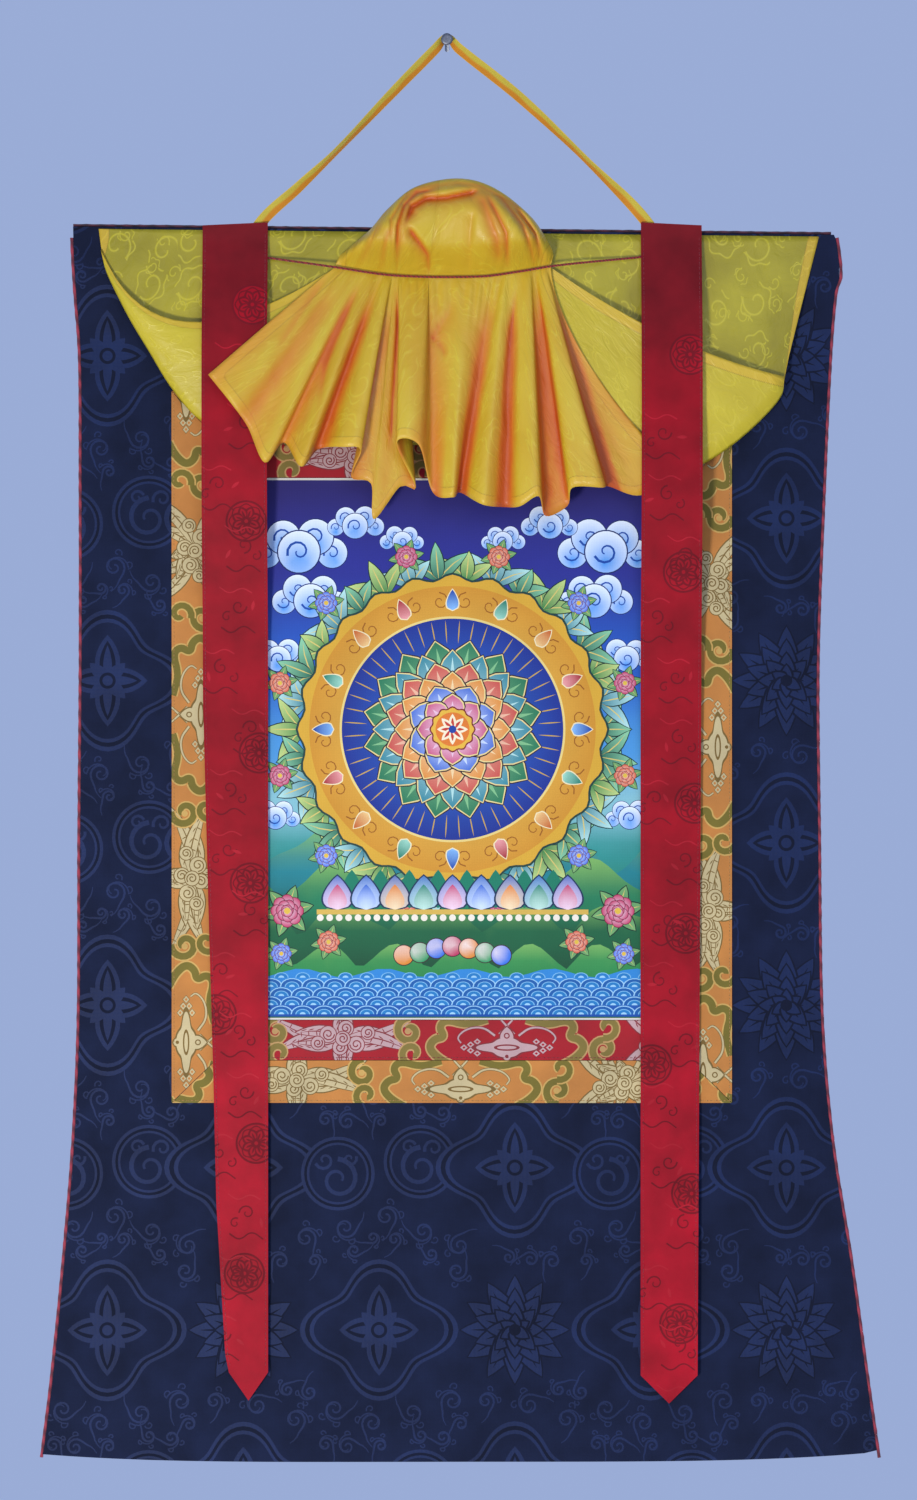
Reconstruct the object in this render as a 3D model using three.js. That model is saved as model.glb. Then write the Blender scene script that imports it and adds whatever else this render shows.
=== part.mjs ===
// A thangka scroll painting hanging by its tape from a nail, in millimetres.
// X runs to the right, Z runs up and the wall is the plane Y = 0, with all cloth on its -Y side.
// The origin is the centre of the nail's flat rear end. A depth is a distance in front of the wall.

import * as THREE from 'three';

// Driving dimensions
const clothThickness = 2;
const stripThickness = 1;
const ribbonThickness = 1.2;
const veilThickness = 1;
const gap = 0.35;
const mitreGap = 0.25;

// Top edge and bottom edge of the ground cloth
const topMiddleZ = -124.7;
const topSlope = -0.0107;
const bottomMiddleZ = -958.5;
const bottomCornerRise = 7;
const halfWidth = 283;

// Casing over the flat batten, and how the cloth falls back below it
const casingHeight = 21;
const casingFrontDepth = 13;
const casingBackDepth = 1;
const casingTurn = 4;
const casingRows = [
  { part: 0, frontInset: 2.5 },
  { part: 0.07, frontInset: 0 },
  { part: 0.5, frontInset: 0 },
  { part: 1, frontInset: 0 },
];
const hangDepth = 8;
const fallLength = 60;
const cornerCurl = 5;

// Side edges of the ground cloth, a row for each height
const sideEdges = [
  { z: -960, left: -274, right: 292 },
  { z: -903, left: -267, right: 284 },
  { z: -822, left: -259, right: 273 },
  { z: -741, left: -252.5, right: 260.5 },
  { z: -659, left: -249, right: 253.5 },
  { z: -537, left: -248.5, right: 251.5 },
  { z: -415, left: -247.5, right: 250.5 },
  { z: -293, left: -247.5, right: 255 },
  { z: -211, left: -248, right: 259 },
  { z: -165, left: -251, right: 262.5 },
  { z: -156, left: -251.5, right: 265.5 },
  { z: -137, left: -252.5, right: 264 },
  { z: -120, left: -253, right: 261 },
];

// Slow waves of the hanging cloth, each with its height and its lengths in X and Z
const clothWaves = [
  { height: 0.9, lengthX: 520, lengthZ: 610, shift: 0.7 },
  { height: 0.6, lengthX: 300, lengthZ: 420, shift: 2.1 },
];

// Outlines of the two borders and the panel, each inside the last
const yellowOutline = { left: -186.5, right: 193, top: -233, bottom: -715 };
const redOutline = { left: -156.5, right: 163.5, top: -264.5, bottom: -686 };
const panelOutline = { left: -125.5, right: 133, top: -291.5, bottom: -659 };

// Grids of the border strips and the panel
const stripLengthSteps = 14;
const stripHeightSteps = 17;
const stripWidthSteps = 2;
const panelColumns = 9;
const panelRows = 13;

// Piping
const pipingRadius = 1;
const pipingAngles = [0, 1, 2, 3, 4, 5].map((side) => (side * Math.PI) / 3);
const topPipingDepth = 10;

// Ribbons, a row for each height, and the shape of their ends
const leftRibbonEdges = [
  { z: -897, left: -147.5, right: -121 },
  { z: -885, left: -150, right: -121 },
  { z: -783, left: -156, right: -121 },
  { z: -699, left: -158, right: -121 },
  { z: -577, left: -161.5, right: -121 },
  { z: -442, left: -165, right: -121 },
  { z: -120, left: -165, right: -121 },
];
const rightRibbonEdges = [
  { z: -899, left: 131, right: 169.5 },
  { z: -442, left: 131, right: 172 },
  { z: -120, left: 131, right: 172 },
];
const ribbonPoint = 19;
const ribbonTopRise = 3;
const ribbonRaisedSideRise = 2;

// Rows of a ribbon by their drop below its top: close where it bends, then even down to its shoulder
const ribbonDrops = [0, 12, 22, 30, 42, 58, 74, 95, 120, 150, 180, 205, 230, 260, 300, 340];
const ribbonLongRows = 8;
const ribbonColumns = 4;

// Depth of the ribbons, which fall over the veil's folds and then back to the cloth
const ribbonDepths = [
  { z: -950, depth: 12.6 },
  { z: -480, depth: 12.6 },
  { z: -400, depth: 15 },
  { z: -335, depth: 24 },
  { z: -300, depth: 28 },
  { z: -215, depth: 28 },
  { z: -185, depth: 25.5 },
  { z: -150, depth: 19.4 },
  { z: -142, depth: 18.4 },
  { z: -134, depth: 17 },
  { z: -110, depth: 16.9 },
];

// Nail
const nailLength = 20;
const nailRadius = 1.5;
const nailHeadRadius = 4;
const nailHeadThickness = 1.6;
const nailHeadCrownRadius = 3.2;
const nailHeadBevel = 0.3;
const nailSides = 20;
const nailRiseAngle = THREE.MathUtils.degToRad(11);

// Hanging tape, with the angle by which its face turns from the nail's axis to the front
const tapeWidth = 8;
const tapeThickness = 1;
const tapeBevel = 0.3;
const tapeStations = [
  { x: -128, depth: 15.4, z: -137, face: 90 },
  { x: -127.5, depth: 15.4, z: -122, face: 88 },
  { x: -99.5, depth: 13.5, z: -94.5, face: 52 },
  { x: -75, depth: 12.5, z: -71, face: 25 },
  { x: -32, depth: 11, z: -26, face: 48 },
  { x: -8, depth: 10.2, z: -1.5, face: 50 },
  { x: 0, depth: 10, z: 6.8, face: 25 },
  { x: 8, depth: 10.2, z: -1, face: 50 },
  { x: 49.5, depth: 11.5, z: -34.5, face: 52 },
  { x: 96.5, depth: 13, z: -79, face: 26 },
  { x: 137, depth: 15.4, z: -122, face: 88 },
  { x: 138.5, depth: 15.4, z: -137, face: 90 },
];
const tapeSteps = 56;

// Gather string
const stringDiameter = 1.7;
const stringPoints = [
  { x: -136, depth: 15.9, z: -141.5 },
  { x: -121, depth: 16.2, z: -143.5 },
  { x: -78, depth: 22.9, z: -150.3 },
  { x: -35, depth: 22.9, z: -156.3 },
  { x: 22, depth: 22.9, z: -157 },
  { x: 49, depth: 22.9, z: -153.6 },
  { x: 73.5, depth: 22.9, z: -149.6 },
  { x: 131, depth: 16.2, z: -143 },
  { x: 145, depth: 15.9, z: -141.5 },
];
const stringSteps = 50;
const cordSides = 8;

// Veil: its seam along the top, and where it is gathered at the string
const veilSeam = { left: -235.5, right: 251.5, depth: 13.9, drop: 1.5 };
const gather = { left: -72, right: 65.5, backDepth: 17.3, frontDepth: 20.3 };

// Lowest line of the lifted veil, where the sheet turns forward, by share of the veil's width
const foldLine = [
  { share: 0, x: -233.5, z: -138 },
  { share: 0.02, x: -229.5, z: -152 },
  { share: 0.05, x: -216, z: -179.5 },
  { share: 0.1, x: -201.5, z: -204 },
  { share: 0.15, x: -185.5, z: -230 },
  { share: 0.2, x: -166.5, z: -251 },
  { share: 0.27, x: -139.5, z: -261 },
  { share: 0.35, x: -99, z: -263 },
  { share: 0.45, x: -31.5, z: -266.5 },
  { share: 0.55, x: 36, z: -276.5 },
  { share: 0.65, x: 103, z: -291 },
  { share: 0.75, x: 144, z: -293 },
  { share: 0.82, x: 171.5, z: -281.5 },
  { share: 0.88, x: 194.5, z: -266.5 },
  { share: 0.94, x: 215, z: -248 },
  { share: 0.98, x: 226, z: -234 },
  { share: 1, x: 227.5, z: -224 },
];

// Points that the sheet's way from the fold line up to the string is drawn towards
const liftLine = [
  { share: 0, x: -196.5, z: -230 },
  { share: 0.05, x: -173, z: -241.5 },
  { share: 0.1, x: -145, z: -246.5 },
  { share: 0.2, x: -99, z: -236.5 },
  { share: 0.35, x: -55, z: -226.5 },
  { share: 0.5, x: 2, z: -220 },
  { share: 0.65, x: 76, z: -233 },
  { share: 0.82, x: 130, z: -233 },
  { share: 1, x: 150, z: -207.5 },
];
const foldRise = { behind: 1.6, turn: 3.4, front: 5.4, drop: 2 };
const foldFullLength = 30;
const narrowShare = 0.03;
const gatherClearance = 2;
const liftDepths = [
  { way: 0, rise: 0 },
  { way: 0.3, rise: 2.8 },
  { way: 0.6, rise: 1.8 },
  { way: 0.85, rise: -0.4 },
  { way: 1, rise: -2 },
];

// Puff above the string: a dome with two ridges round its rim, a hollow face and folds to the right
const puff = { centreX: -3.5, centreZ: -151.8, rimDepth: 30, bulge: 30 };
const rimReach = 0.03;
const rimLine = [
  { along: 0, x: -72, z: -142.4 },
  { along: 0.037, x: -64, z: -136.3 },
  { along: 0.1, x: -50.8, z: -126.2 },
  { along: 0.187, x: -40.4, z: -113.9 },
  { along: 0.337, x: -21.3, z: -98.2 },
  { along: 0.5, x: 6.8, z: -92.2 },
  { along: 0.663, x: 31, z: -98.2 },
  { along: 0.84, x: 55.8, z: -117.5 },
  { along: 0.975, x: 70.5, z: -138.3 },
  { along: 1, x: 71.6, z: -142.4 },
];
const puffEnd = { depth: 18.8, lowRim: 5, foldedRim: 12, fullRim: 32 };
const rimRidge = { height: 2.6, pitch: 10.5, reach: 24 };
const faceHollow = { x: 2, z: -128, radius: 26, depth: 7 };
const sideFolds = { x: 33.5, z: -105, height: 2.4, count: 4, fromAngle: -1.35, toAngle: -0.55 };
const puffRows = [0.07, 0.15, 0.24, 0.36, 0.5, 0.65, 0.78, 0.88, 0.945];
const cinch = { start: 1, end: 9, share: 0.6 };

// Fan below the string. Each row is a ridge or a valley, from its place along the gathers down to the hem.
// Where the hem's X steps back, the pleat lies over its neighbour. The lag bends a row's way outward late.
const fanRows = [
  { along: 0, x: -160, z: -224.5, depth: 36, lag: 1 },
  { along: 0.03, x: -144, z: -244.5, depth: 40, lag: 1 },
  { along: 0.06, x: -133.5, z: -259.5, depth: 34, lag: 1 },
  { along: 0.1, x: -122, z: -283.5, depth: 39, lag: 1 },
  { along: 0.135, x: -109.5, z: -269.5, depth: 32, lag: 1 },
  { along: 0.17, x: -97.5, z: -286.5, depth: 43, lag: 1 },
  { along: 0.215, x: -86.5, z: -274, depth: 30, lag: 1 },
  { along: 0.24, x: -69, z: -273.5, depth: 44, lag: 1 },
  { along: 0.26, x: -57.5, z: -275.5, depth: 44, lag: 1 },
  { along: 0.27, x: -64, z: -293, depth: 33, lag: 1 },
  { along: 0.278, x: -51, z: -297, depth: 31, lag: 1 },
  { along: 0.284, x: -49, z: -321, depth: 31, lag: 1 },
  { along: 0.29, x: -31.5, z: -299, depth: 29, lag: 1 },
  { along: 0.296, x: -21, z: -299.5, depth: 28, lag: 1 },
  { along: 0.31, x: -33.5, z: -271, depth: 46, lag: 1 },
  { along: 0.425, x: -18.5, z: -272.5, depth: 46, lag: 1 },
  { along: 0.45, x: -9.5, z: -303, depth: 34, lag: 1 },
  { along: 0.6, x: 4, z: -307, depth: 41, lag: 1 },
  { along: 0.75, x: 9, z: -303, depth: 30, lag: 1 },
  { along: 0.785, x: 24, z: -312, depth: 43, lag: 1 },
  { along: 0.835, x: 39, z: -313, depth: 33, lag: 1 },
  { along: 0.86, x: 49, z: -313, depth: 43, lag: 1 },
  { along: 0.9, x: 61.5, z: -306.5, depth: 45, lag: 1 },
  { along: 0.912, x: 66.5, z: -319, depth: 33, lag: 1 },
  { along: 0.925, x: 81, z: -312, depth: 30, lag: 1 },
  { along: 0.942, x: 84, z: -300.5, depth: 41, lag: 1 },
  { along: 0.972, x: 104, z: -300.5, depth: 42, lag: 1 },
  { along: 0.985, x: 109, z: -299, depth: 30, lag: 1.2 },
  { along: 0.992, x: 131, z: -304.5, depth: 25.5, lag: 1.4 },
  { along: 1, x: 154.5, z: -288.5, depth: 25, lag: 1.6 },
];
const fanSteps = [0.04, 0.12, 0.25, 0.42, 0.6, 0.8, 1];
const fanMeanDepth = 33;
const longHemStep = 15;

// Grid of the ground cloth
const groundColumns = 18;
const groundRowHeight = 31;

const clamp = THREE.MathUtils.clamp;
const lerp = THREE.MathUtils.lerp;

// Value of one column of a table at a place along its key, as a smooth curve through the rows
function columnAt(rows, key, column, place) {
  let index = 0;
  while (index < rows.length - 2 && rows[index + 1][key] < place) {
    index += 1;
  }
  const start = rows[index];
  const end = rows[index + 1];
  const before = rows[Math.max(index - 1, 0)];
  const after = rows[Math.min(index + 2, rows.length - 1)];
  const span = end[key] - start[key];
  const t = clamp((place - start[key]) / span, 0, 1);
  const startSlope = (end[column] - before[column]) / (end[key] - before[key]);
  const endSlope = (after[column] - start[column]) / (after[key] - start[key]);
  const startPart = (1 + 2 * t) * (1 - t) ** 2 * start[column] + t * (1 - t) ** 2 * span * startSlope;
  const endPart = t ** 2 * (3 - 2 * t) * end[column] + t ** 2 * (t - 1) * span * endSlope;
  return startPart + endPart;
}

// Straight-line value between the rows, for shapes with real corners
function straightAt(rows, key, column, place) {
  let index = 0;
  while (index < rows.length - 2 && rows[index + 1][key] < place) {
    index += 1;
  }
  const start = rows[index];
  const end = rows[index + 1];
  const t = clamp((place - start[key]) / (end[key] - start[key]), 0, 1);
  return lerp(start[column], end[column], t);
}

function topEdgeZ(x) {
  return topMiddleZ + topSlope * x;
}

function bottomEdgeZ(x) {
  return bottomMiddleZ + bottomCornerRise * (x / halfWidth) ** 4;
}

// Depth of the ground cloth's front face
function clothDepth(x, z) {
  const below = topEdgeZ(x) - casingHeight - z;
  const fallen = THREE.MathUtils.smoothstep(below, 0, fallLength);
  let depth = lerp(casingFrontDepth, hangDepth, fallen);
  for (const wave of clothWaves) {
    const phase = (2 * Math.PI * x) / wave.lengthX + wave.shift;
    depth += fallen * wave.height * Math.sin(phase) * Math.cos((2 * Math.PI * z) / wave.lengthZ);
  }
  const down = clamp((topMiddleZ - z) / (topMiddleZ - bottomMiddleZ), 0, 1);
  return depth + cornerCurl * (x / halfWidth) ** 4 * down ** 6;
}

// Closed body between two grids of points of the same size, rows running down and columns to the right
function bodyBetween(frontRows, backRows) {
  const rowCount = frontRows.length;
  const columnCount = frontRows[0].length;
  const positions = [];
  for (const rows of [frontRows, backRows]) {
    for (const row of rows) {
      for (const point of row) {
        positions.push(point.x, point.y, point.z);
      }
    }
  }
  const front = (row, column) => row * columnCount + column;
  const back = (row, column) => rowCount * columnCount + row * columnCount + column;
  const indices = [];
  const quad = (a, b, c, d) => indices.push(a, b, c, a, c, d);
  for (let row = 0; row < rowCount - 1; row += 1) {
    for (let column = 0; column < columnCount - 1; column += 1) {
      quad(front(row, column), front(row + 1, column), front(row + 1, column + 1), front(row, column + 1));
      quad(back(row, column), back(row, column + 1), back(row + 1, column + 1), back(row + 1, column));
    }
  }
  const lastRow = rowCount - 1;
  const lastColumn = columnCount - 1;
  for (let column = 0; column < lastColumn; column += 1) {
    quad(front(0, column), front(0, column + 1), back(0, column + 1), back(0, column));
    quad(front(lastRow, column + 1), front(lastRow, column), back(lastRow, column), back(lastRow, column + 1));
  }
  for (let row = 0; row < lastRow; row += 1) {
    quad(front(row + 1, 0), front(row, 0), back(row, 0), back(row + 1, 0));
    quad(front(row, lastColumn), front(row + 1, lastColumn), back(row + 1, lastColumn), back(row, lastColumn));
  }
  const geometry = new THREE.BufferGeometry();
  geometry.setAttribute('position', new THREE.Float32BufferAttribute(positions, 3));
  geometry.setIndex(indices);
  geometry.computeVertexNormals();
  return geometry;
}

// Flat-hanging sheet over a plan of points, with the depths of its two faces
function hangingSheet(planRows, frontDepth, backDepth) {
  const place = (depthAt) => (point) => new THREE.Vector3(point.x, -depthAt(point.x, point.z), point.z);
  const frontRows = planRows.map((row) => row.map(place(frontDepth)));
  const backRows = planRows.map((row) => row.map(place(backDepth)));
  return bodyBetween(frontRows, backRows);
}

// Strip or panel laid on the ground cloth
function laidSheet(planRows) {
  const backDepth = (x, z) => clothDepth(x, z) + gap;
  const frontDepth = (x, z) => backDepth(x, z) + stripThickness;
  return hangingSheet(planRows, frontDepth, backDepth);
}

// Draped sheet of even thickness, half to each side of its grid of places.
// A place has its point, and in a sharp turn the way its front faces too.
function drapedSheet(rows, thickness) {
  const normals = rows.map((row) => row.map(() => new THREE.Vector3()));
  for (let row = 0; row < rows.length - 1; row += 1) {
    for (let column = 0; column < rows[0].length - 1; column += 1) {
      const across = rows[row + 1][column + 1].point.clone().sub(rows[row][column].point);
      const along = rows[row][column + 1].point.clone().sub(rows[row + 1][column].point);
      const face = across.cross(along).normalize();
      normals[row][column].add(face);
      normals[row + 1][column].add(face);
      normals[row][column + 1].add(face);
      normals[row + 1][column + 1].add(face);
    }
  }
  const facesAt = (side) =>
    rows.map((row, r) =>
      row.map((place, c) => {
        const facing = place.facing ?? normals[r][c].normalize();
        return place.point.clone().addScaledVector(facing, (side * thickness) / 2);
      }),
    );
  return bodyBetween(facesAt(1), facesAt(-1));
}

// Closed body through a row of equal rings, capped at both ends
function bodyThroughRings(rings) {
  const sides = rings[0].length;
  const positions = [];
  for (const ring of rings) {
    for (const point of ring) {
      positions.push(point.x, point.y, point.z);
    }
  }
  const indices = [];
  for (let step = 0; step < rings.length - 1; step += 1) {
    for (let side = 0; side < sides; side += 1) {
      const next = (side + 1) % sides;
      const a = step * sides + side;
      const b = step * sides + next;
      indices.push(a, b, b + sides, a, b + sides, a + sides);
    }
  }
  const lastRing = (rings.length - 1) * sides;
  for (let side = 1; side < sides - 1; side += 1) {
    indices.push(0, side + 1, side);
    indices.push(lastRing, lastRing + side, lastRing + side + 1);
  }
  const geometry = new THREE.BufferGeometry();
  geometry.setAttribute('position', new THREE.Float32BufferAttribute(positions, 3));
  geometry.setIndex(indices);
  geometry.computeVertexNormals();
  return geometry;
}

function cloth(color, roughness) {
  return new THREE.MeshStandardMaterial({ color, roughness, metalness: 0 });
}

function namedMesh(name, geometry, material) {
  const mesh = new THREE.Mesh(geometry, material);
  mesh.name = name;
  return mesh;
}

// Rows of the ground cloth from its top edge to its hem, the casing's first, each with its height at any X
function groundRows() {
  const rows = casingRows.map((row) => ({
    zAt: (x) => topEdgeZ(x) - row.part * casingHeight,
    frontInset: row.frontInset,
    isCasing: true,
  }));
  const hangingCount = Math.round((topMiddleZ - casingHeight - bottomMiddleZ) / groundRowHeight);
  for (let row = 0; row <= hangingCount; row += 1) {
    const startZ = (x) => topEdgeZ(x) - casingHeight - casingTurn;
    rows.push({
      zAt: (x) => lerp(startZ(x), bottomEdgeZ(x), row / hangingCount),
      frontInset: 0,
      isCasing: false,
    });
  }
  return rows;
}

// Ground cloth with its casing, whose back is flat
function groundCloth() {
  const frontRows = [];
  const backRows = [];
  for (const row of groundRows()) {
    const frontRow = [];
    const backRow = [];
    for (let column = 0; column < groundColumns; column += 1) {
      const share = column / (groundColumns - 1);
      const z = row.zAt(lerp(-halfWidth, halfWidth, share));
      const x = lerp(columnAt(sideEdges, 'z', 'left', z), columnAt(sideEdges, 'z', 'right', z), share);
      const frontDepth = clothDepth(x, z) - row.frontInset;
      const backDepth = row.isCasing ? casingBackDepth : clothDepth(x, z) - clothThickness;
      frontRow.push(new THREE.Vector3(x, -frontDepth, z));
      backRow.push(new THREE.Vector3(x, -backDepth, z));
    }
    frontRows.push(frontRow);
    backRows.push(backRow);
  }
  return bodyBetween(frontRows, backRows);
}

// Piping down one side of the ground cloth, a ring at each of the cloth's rows
function sidePiping(edge, outward) {
  const rings = groundRows().map((row) => {
    const z = row.zAt(outward * halfWidth);
    const edgeX = columnAt(sideEdges, 'z', edge, z);
    const centreX = edgeX + outward * (pipingRadius + gap);
    const centreDepth = clothDepth(edgeX, z) - clothThickness / 2;
    return pipingAngles.map((angle) => {
      const ringX = centreX + pipingRadius * Math.cos(angle);
      return new THREE.Vector3(ringX, -centreDepth - pipingRadius * Math.sin(angle), z);
    });
  });
  return bodyThroughRings(rings);
}

// Piping along the top of the casing
function topPiping() {
  const topRow = sideEdges[sideEdges.length - 1];
  const rings = [topRow.left, topRow.right].map((x) => {
    const centreZ = topEdgeZ(x) + pipingRadius + gap;
    return pipingAngles.map((angle) => {
      const depth = topPipingDepth + pipingRadius * Math.cos(angle);
      return new THREE.Vector3(x, -depth, centreZ - pipingRadius * Math.sin(angle));
    });
  });
  return bodyThroughRings(rings);
}

// Point on one side of an outline, by its share along that side, short of the mitred corners
function sidePoint(outline, side, share) {
  if (side === 'top' || side === 'bottom') {
    return { x: lerp(outline.left + mitreGap, outline.right - mitreGap, share), z: outline[side] };
  }
  return { x: outline[side], z: lerp(outline.top - mitreGap, outline.bottom + mitreGap, share) };
}

// One mitred side of a border, between an outer and an inner outline
function borderStrip(outer, inner, side) {
  const liesAcross = side === 'top' || side === 'bottom';
  const outerComesFirst = side === 'top' || side === 'left';
  const first = outerComesFirst ? outer : inner;
  const last = outerComesFirst ? inner : outer;
  const rowCount = liesAcross ? stripWidthSteps : stripHeightSteps;
  const columnCount = liesAcross ? stripLengthSteps : stripWidthSteps;
  const planRows = [];
  for (let row = 0; row <= rowCount; row += 1) {
    const planRow = [];
    for (let column = 0; column <= columnCount; column += 1) {
      const along = liesAcross ? column / columnCount : row / rowCount;
      const across = liesAcross ? row / rowCount : column / columnCount;
      const start = sidePoint(first, side, along);
      const end = sidePoint(last, side, along);
      planRow.push({ x: lerp(start.x, end.x, across), z: lerp(start.z, end.z, across) });
    }
    planRows.push(planRow);
  }
  return laidSheet(planRows);
}

// Outline drawn in by the seam gap all round
function drawnIn(outline, by) {
  return {
    left: outline.left + by,
    right: outline.right - by,
    top: outline.top - by,
    bottom: outline.bottom + by,
  };
}

function paintingPanel() {
  const outline = drawnIn(panelOutline, gap);
  const planRows = [];
  for (let row = 0; row <= panelRows; row += 1) {
    const planRow = [];
    for (let column = 0; column <= panelColumns; column += 1) {
      const x = lerp(outline.left, outline.right, column / panelColumns);
      planRow.push({ x, z: lerp(outline.top, outline.bottom, row / panelRows) });
    }
    planRows.push(planRow);
  }
  return laidSheet(planRows);
}

// Ribbon with a pointed end, its top raised where the tape lies under it
function ribbon(edges, raisedSide) {
  const shoulderZ = edges[0].z;
  const drops = [...ribbonDrops];
  const lastBendDrop = ribbonDrops[ribbonDrops.length - 1];
  for (let row = 1; row <= ribbonLongRows; row += 1) {
    drops.push(lerp(lastBendDrop, topMiddleZ - shoulderZ, row / (ribbonLongRows + 1)));
  }
  const planRows = drops.map((drop) => {
    const planRow = [];
    for (let column = 0; column <= ribbonColumns; column += 1) {
      const share = column / ribbonColumns;
      const raised = raisedSide === 'right' ? share : 1 - share;
      const topZ = topMiddleZ + ribbonTopRise + ribbonRaisedSideRise * raised;
      const z = drop === 0 ? topZ : topMiddleZ - drop;
      const left = straightAt(edges, 'z', 'left', z);
      const right = straightAt(edges, 'z', 'right', z);
      planRow.push({ x: lerp(left, right, share), z });
    }
    return planRow;
  });
  const endRow = [];
  for (let column = 0; column <= ribbonColumns; column += 1) {
    const share = column / ribbonColumns;
    const towardPoint = 1 - Math.abs(2 * share - 1);
    endRow.push({ x: lerp(edges[0].left, edges[0].right, share), z: shoulderZ - ribbonPoint * towardPoint });
  }
  planRows.push(endRow);
  const middleDepth = (z) => columnAt(ribbonDepths, 'z', 'depth', z);
  const frontDepth = (x, z) => middleDepth(z) + ribbonThickness / 2;
  const backDepth = (x, z) => middleDepth(z) - ribbonThickness / 2;
  return hangingSheet(planRows, frontDepth, backDepth);
}

// Height of the string above any point of the gathers
function stringZ(x) {
  return columnAt(stringPoints, 'x', 'z', x);
}

// Columns of the veil: the fan's rows, and one halfway where the hem between two rows is long.
// A column's share is how far along the hem it lies.
function veilColumns() {
  const columns = [];
  fanRows.forEach((row, index) => {
    columns.push({ ...row });
    const next = fanRows[index + 1];
    const hemStep = next ? Math.hypot(next.x - row.x, next.z - row.z, next.depth - row.depth) : 0;
    if (hemStep > longHemStep) {
      const between = {};
      for (const name of Object.keys(row)) {
        between[name] = (row[name] + next[name]) / 2;
      }
      columns.push(between);
    }
  });
  let length = 0;
  columns.forEach((column, index) => {
    const last = columns[Math.max(index - 1, 0)];
    length += Math.hypot(column.x - last.x, column.z - last.z, column.depth - last.depth);
    column.length = length;
  });
  return columns.map((column) => ({ ...column, share: column.length / length }));
}

// Depth of the puff's front at a point, without the string's cinch
function puffDepth(x, z, way, along, rim, rimDepth) {
  const dome = Math.sin(Math.PI * way ** 0.8) ** 0.7;
  const fromRim = Math.hypot(x - rim.x, z - rim.z);
  const flank = 1 - Math.abs(2 * along - 1) ** 4;
  let depth = rimDepth + puff.bulge * dome * flank;
  const ridgeFade = flank * clamp(1 - fromRim / rimRidge.reach, 0, 1);
  depth -= rimRidge.height * ridgeFade * Math.cos((2 * Math.PI * fromRim) / rimRidge.pitch);
  const fromFace = Math.hypot(x - faceHollow.x, z - faceHollow.z) / faceHollow.radius;
  depth -= faceHollow.depth * Math.max(0, 1 - fromFace ** 2);
  const angle = Math.atan2(z - sideFolds.z, x - sideFolds.x);
  const turn = (angle - sideFolds.fromAngle) / (sideFolds.toAngle - sideFolds.fromAngle);
  if (turn > 0 && turn < 1) {
    depth += sideFolds.height * Math.sin(2 * Math.PI * sideFolds.count * turn) * Math.sin(Math.PI * turn);
  }
  return depth;
}

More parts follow.
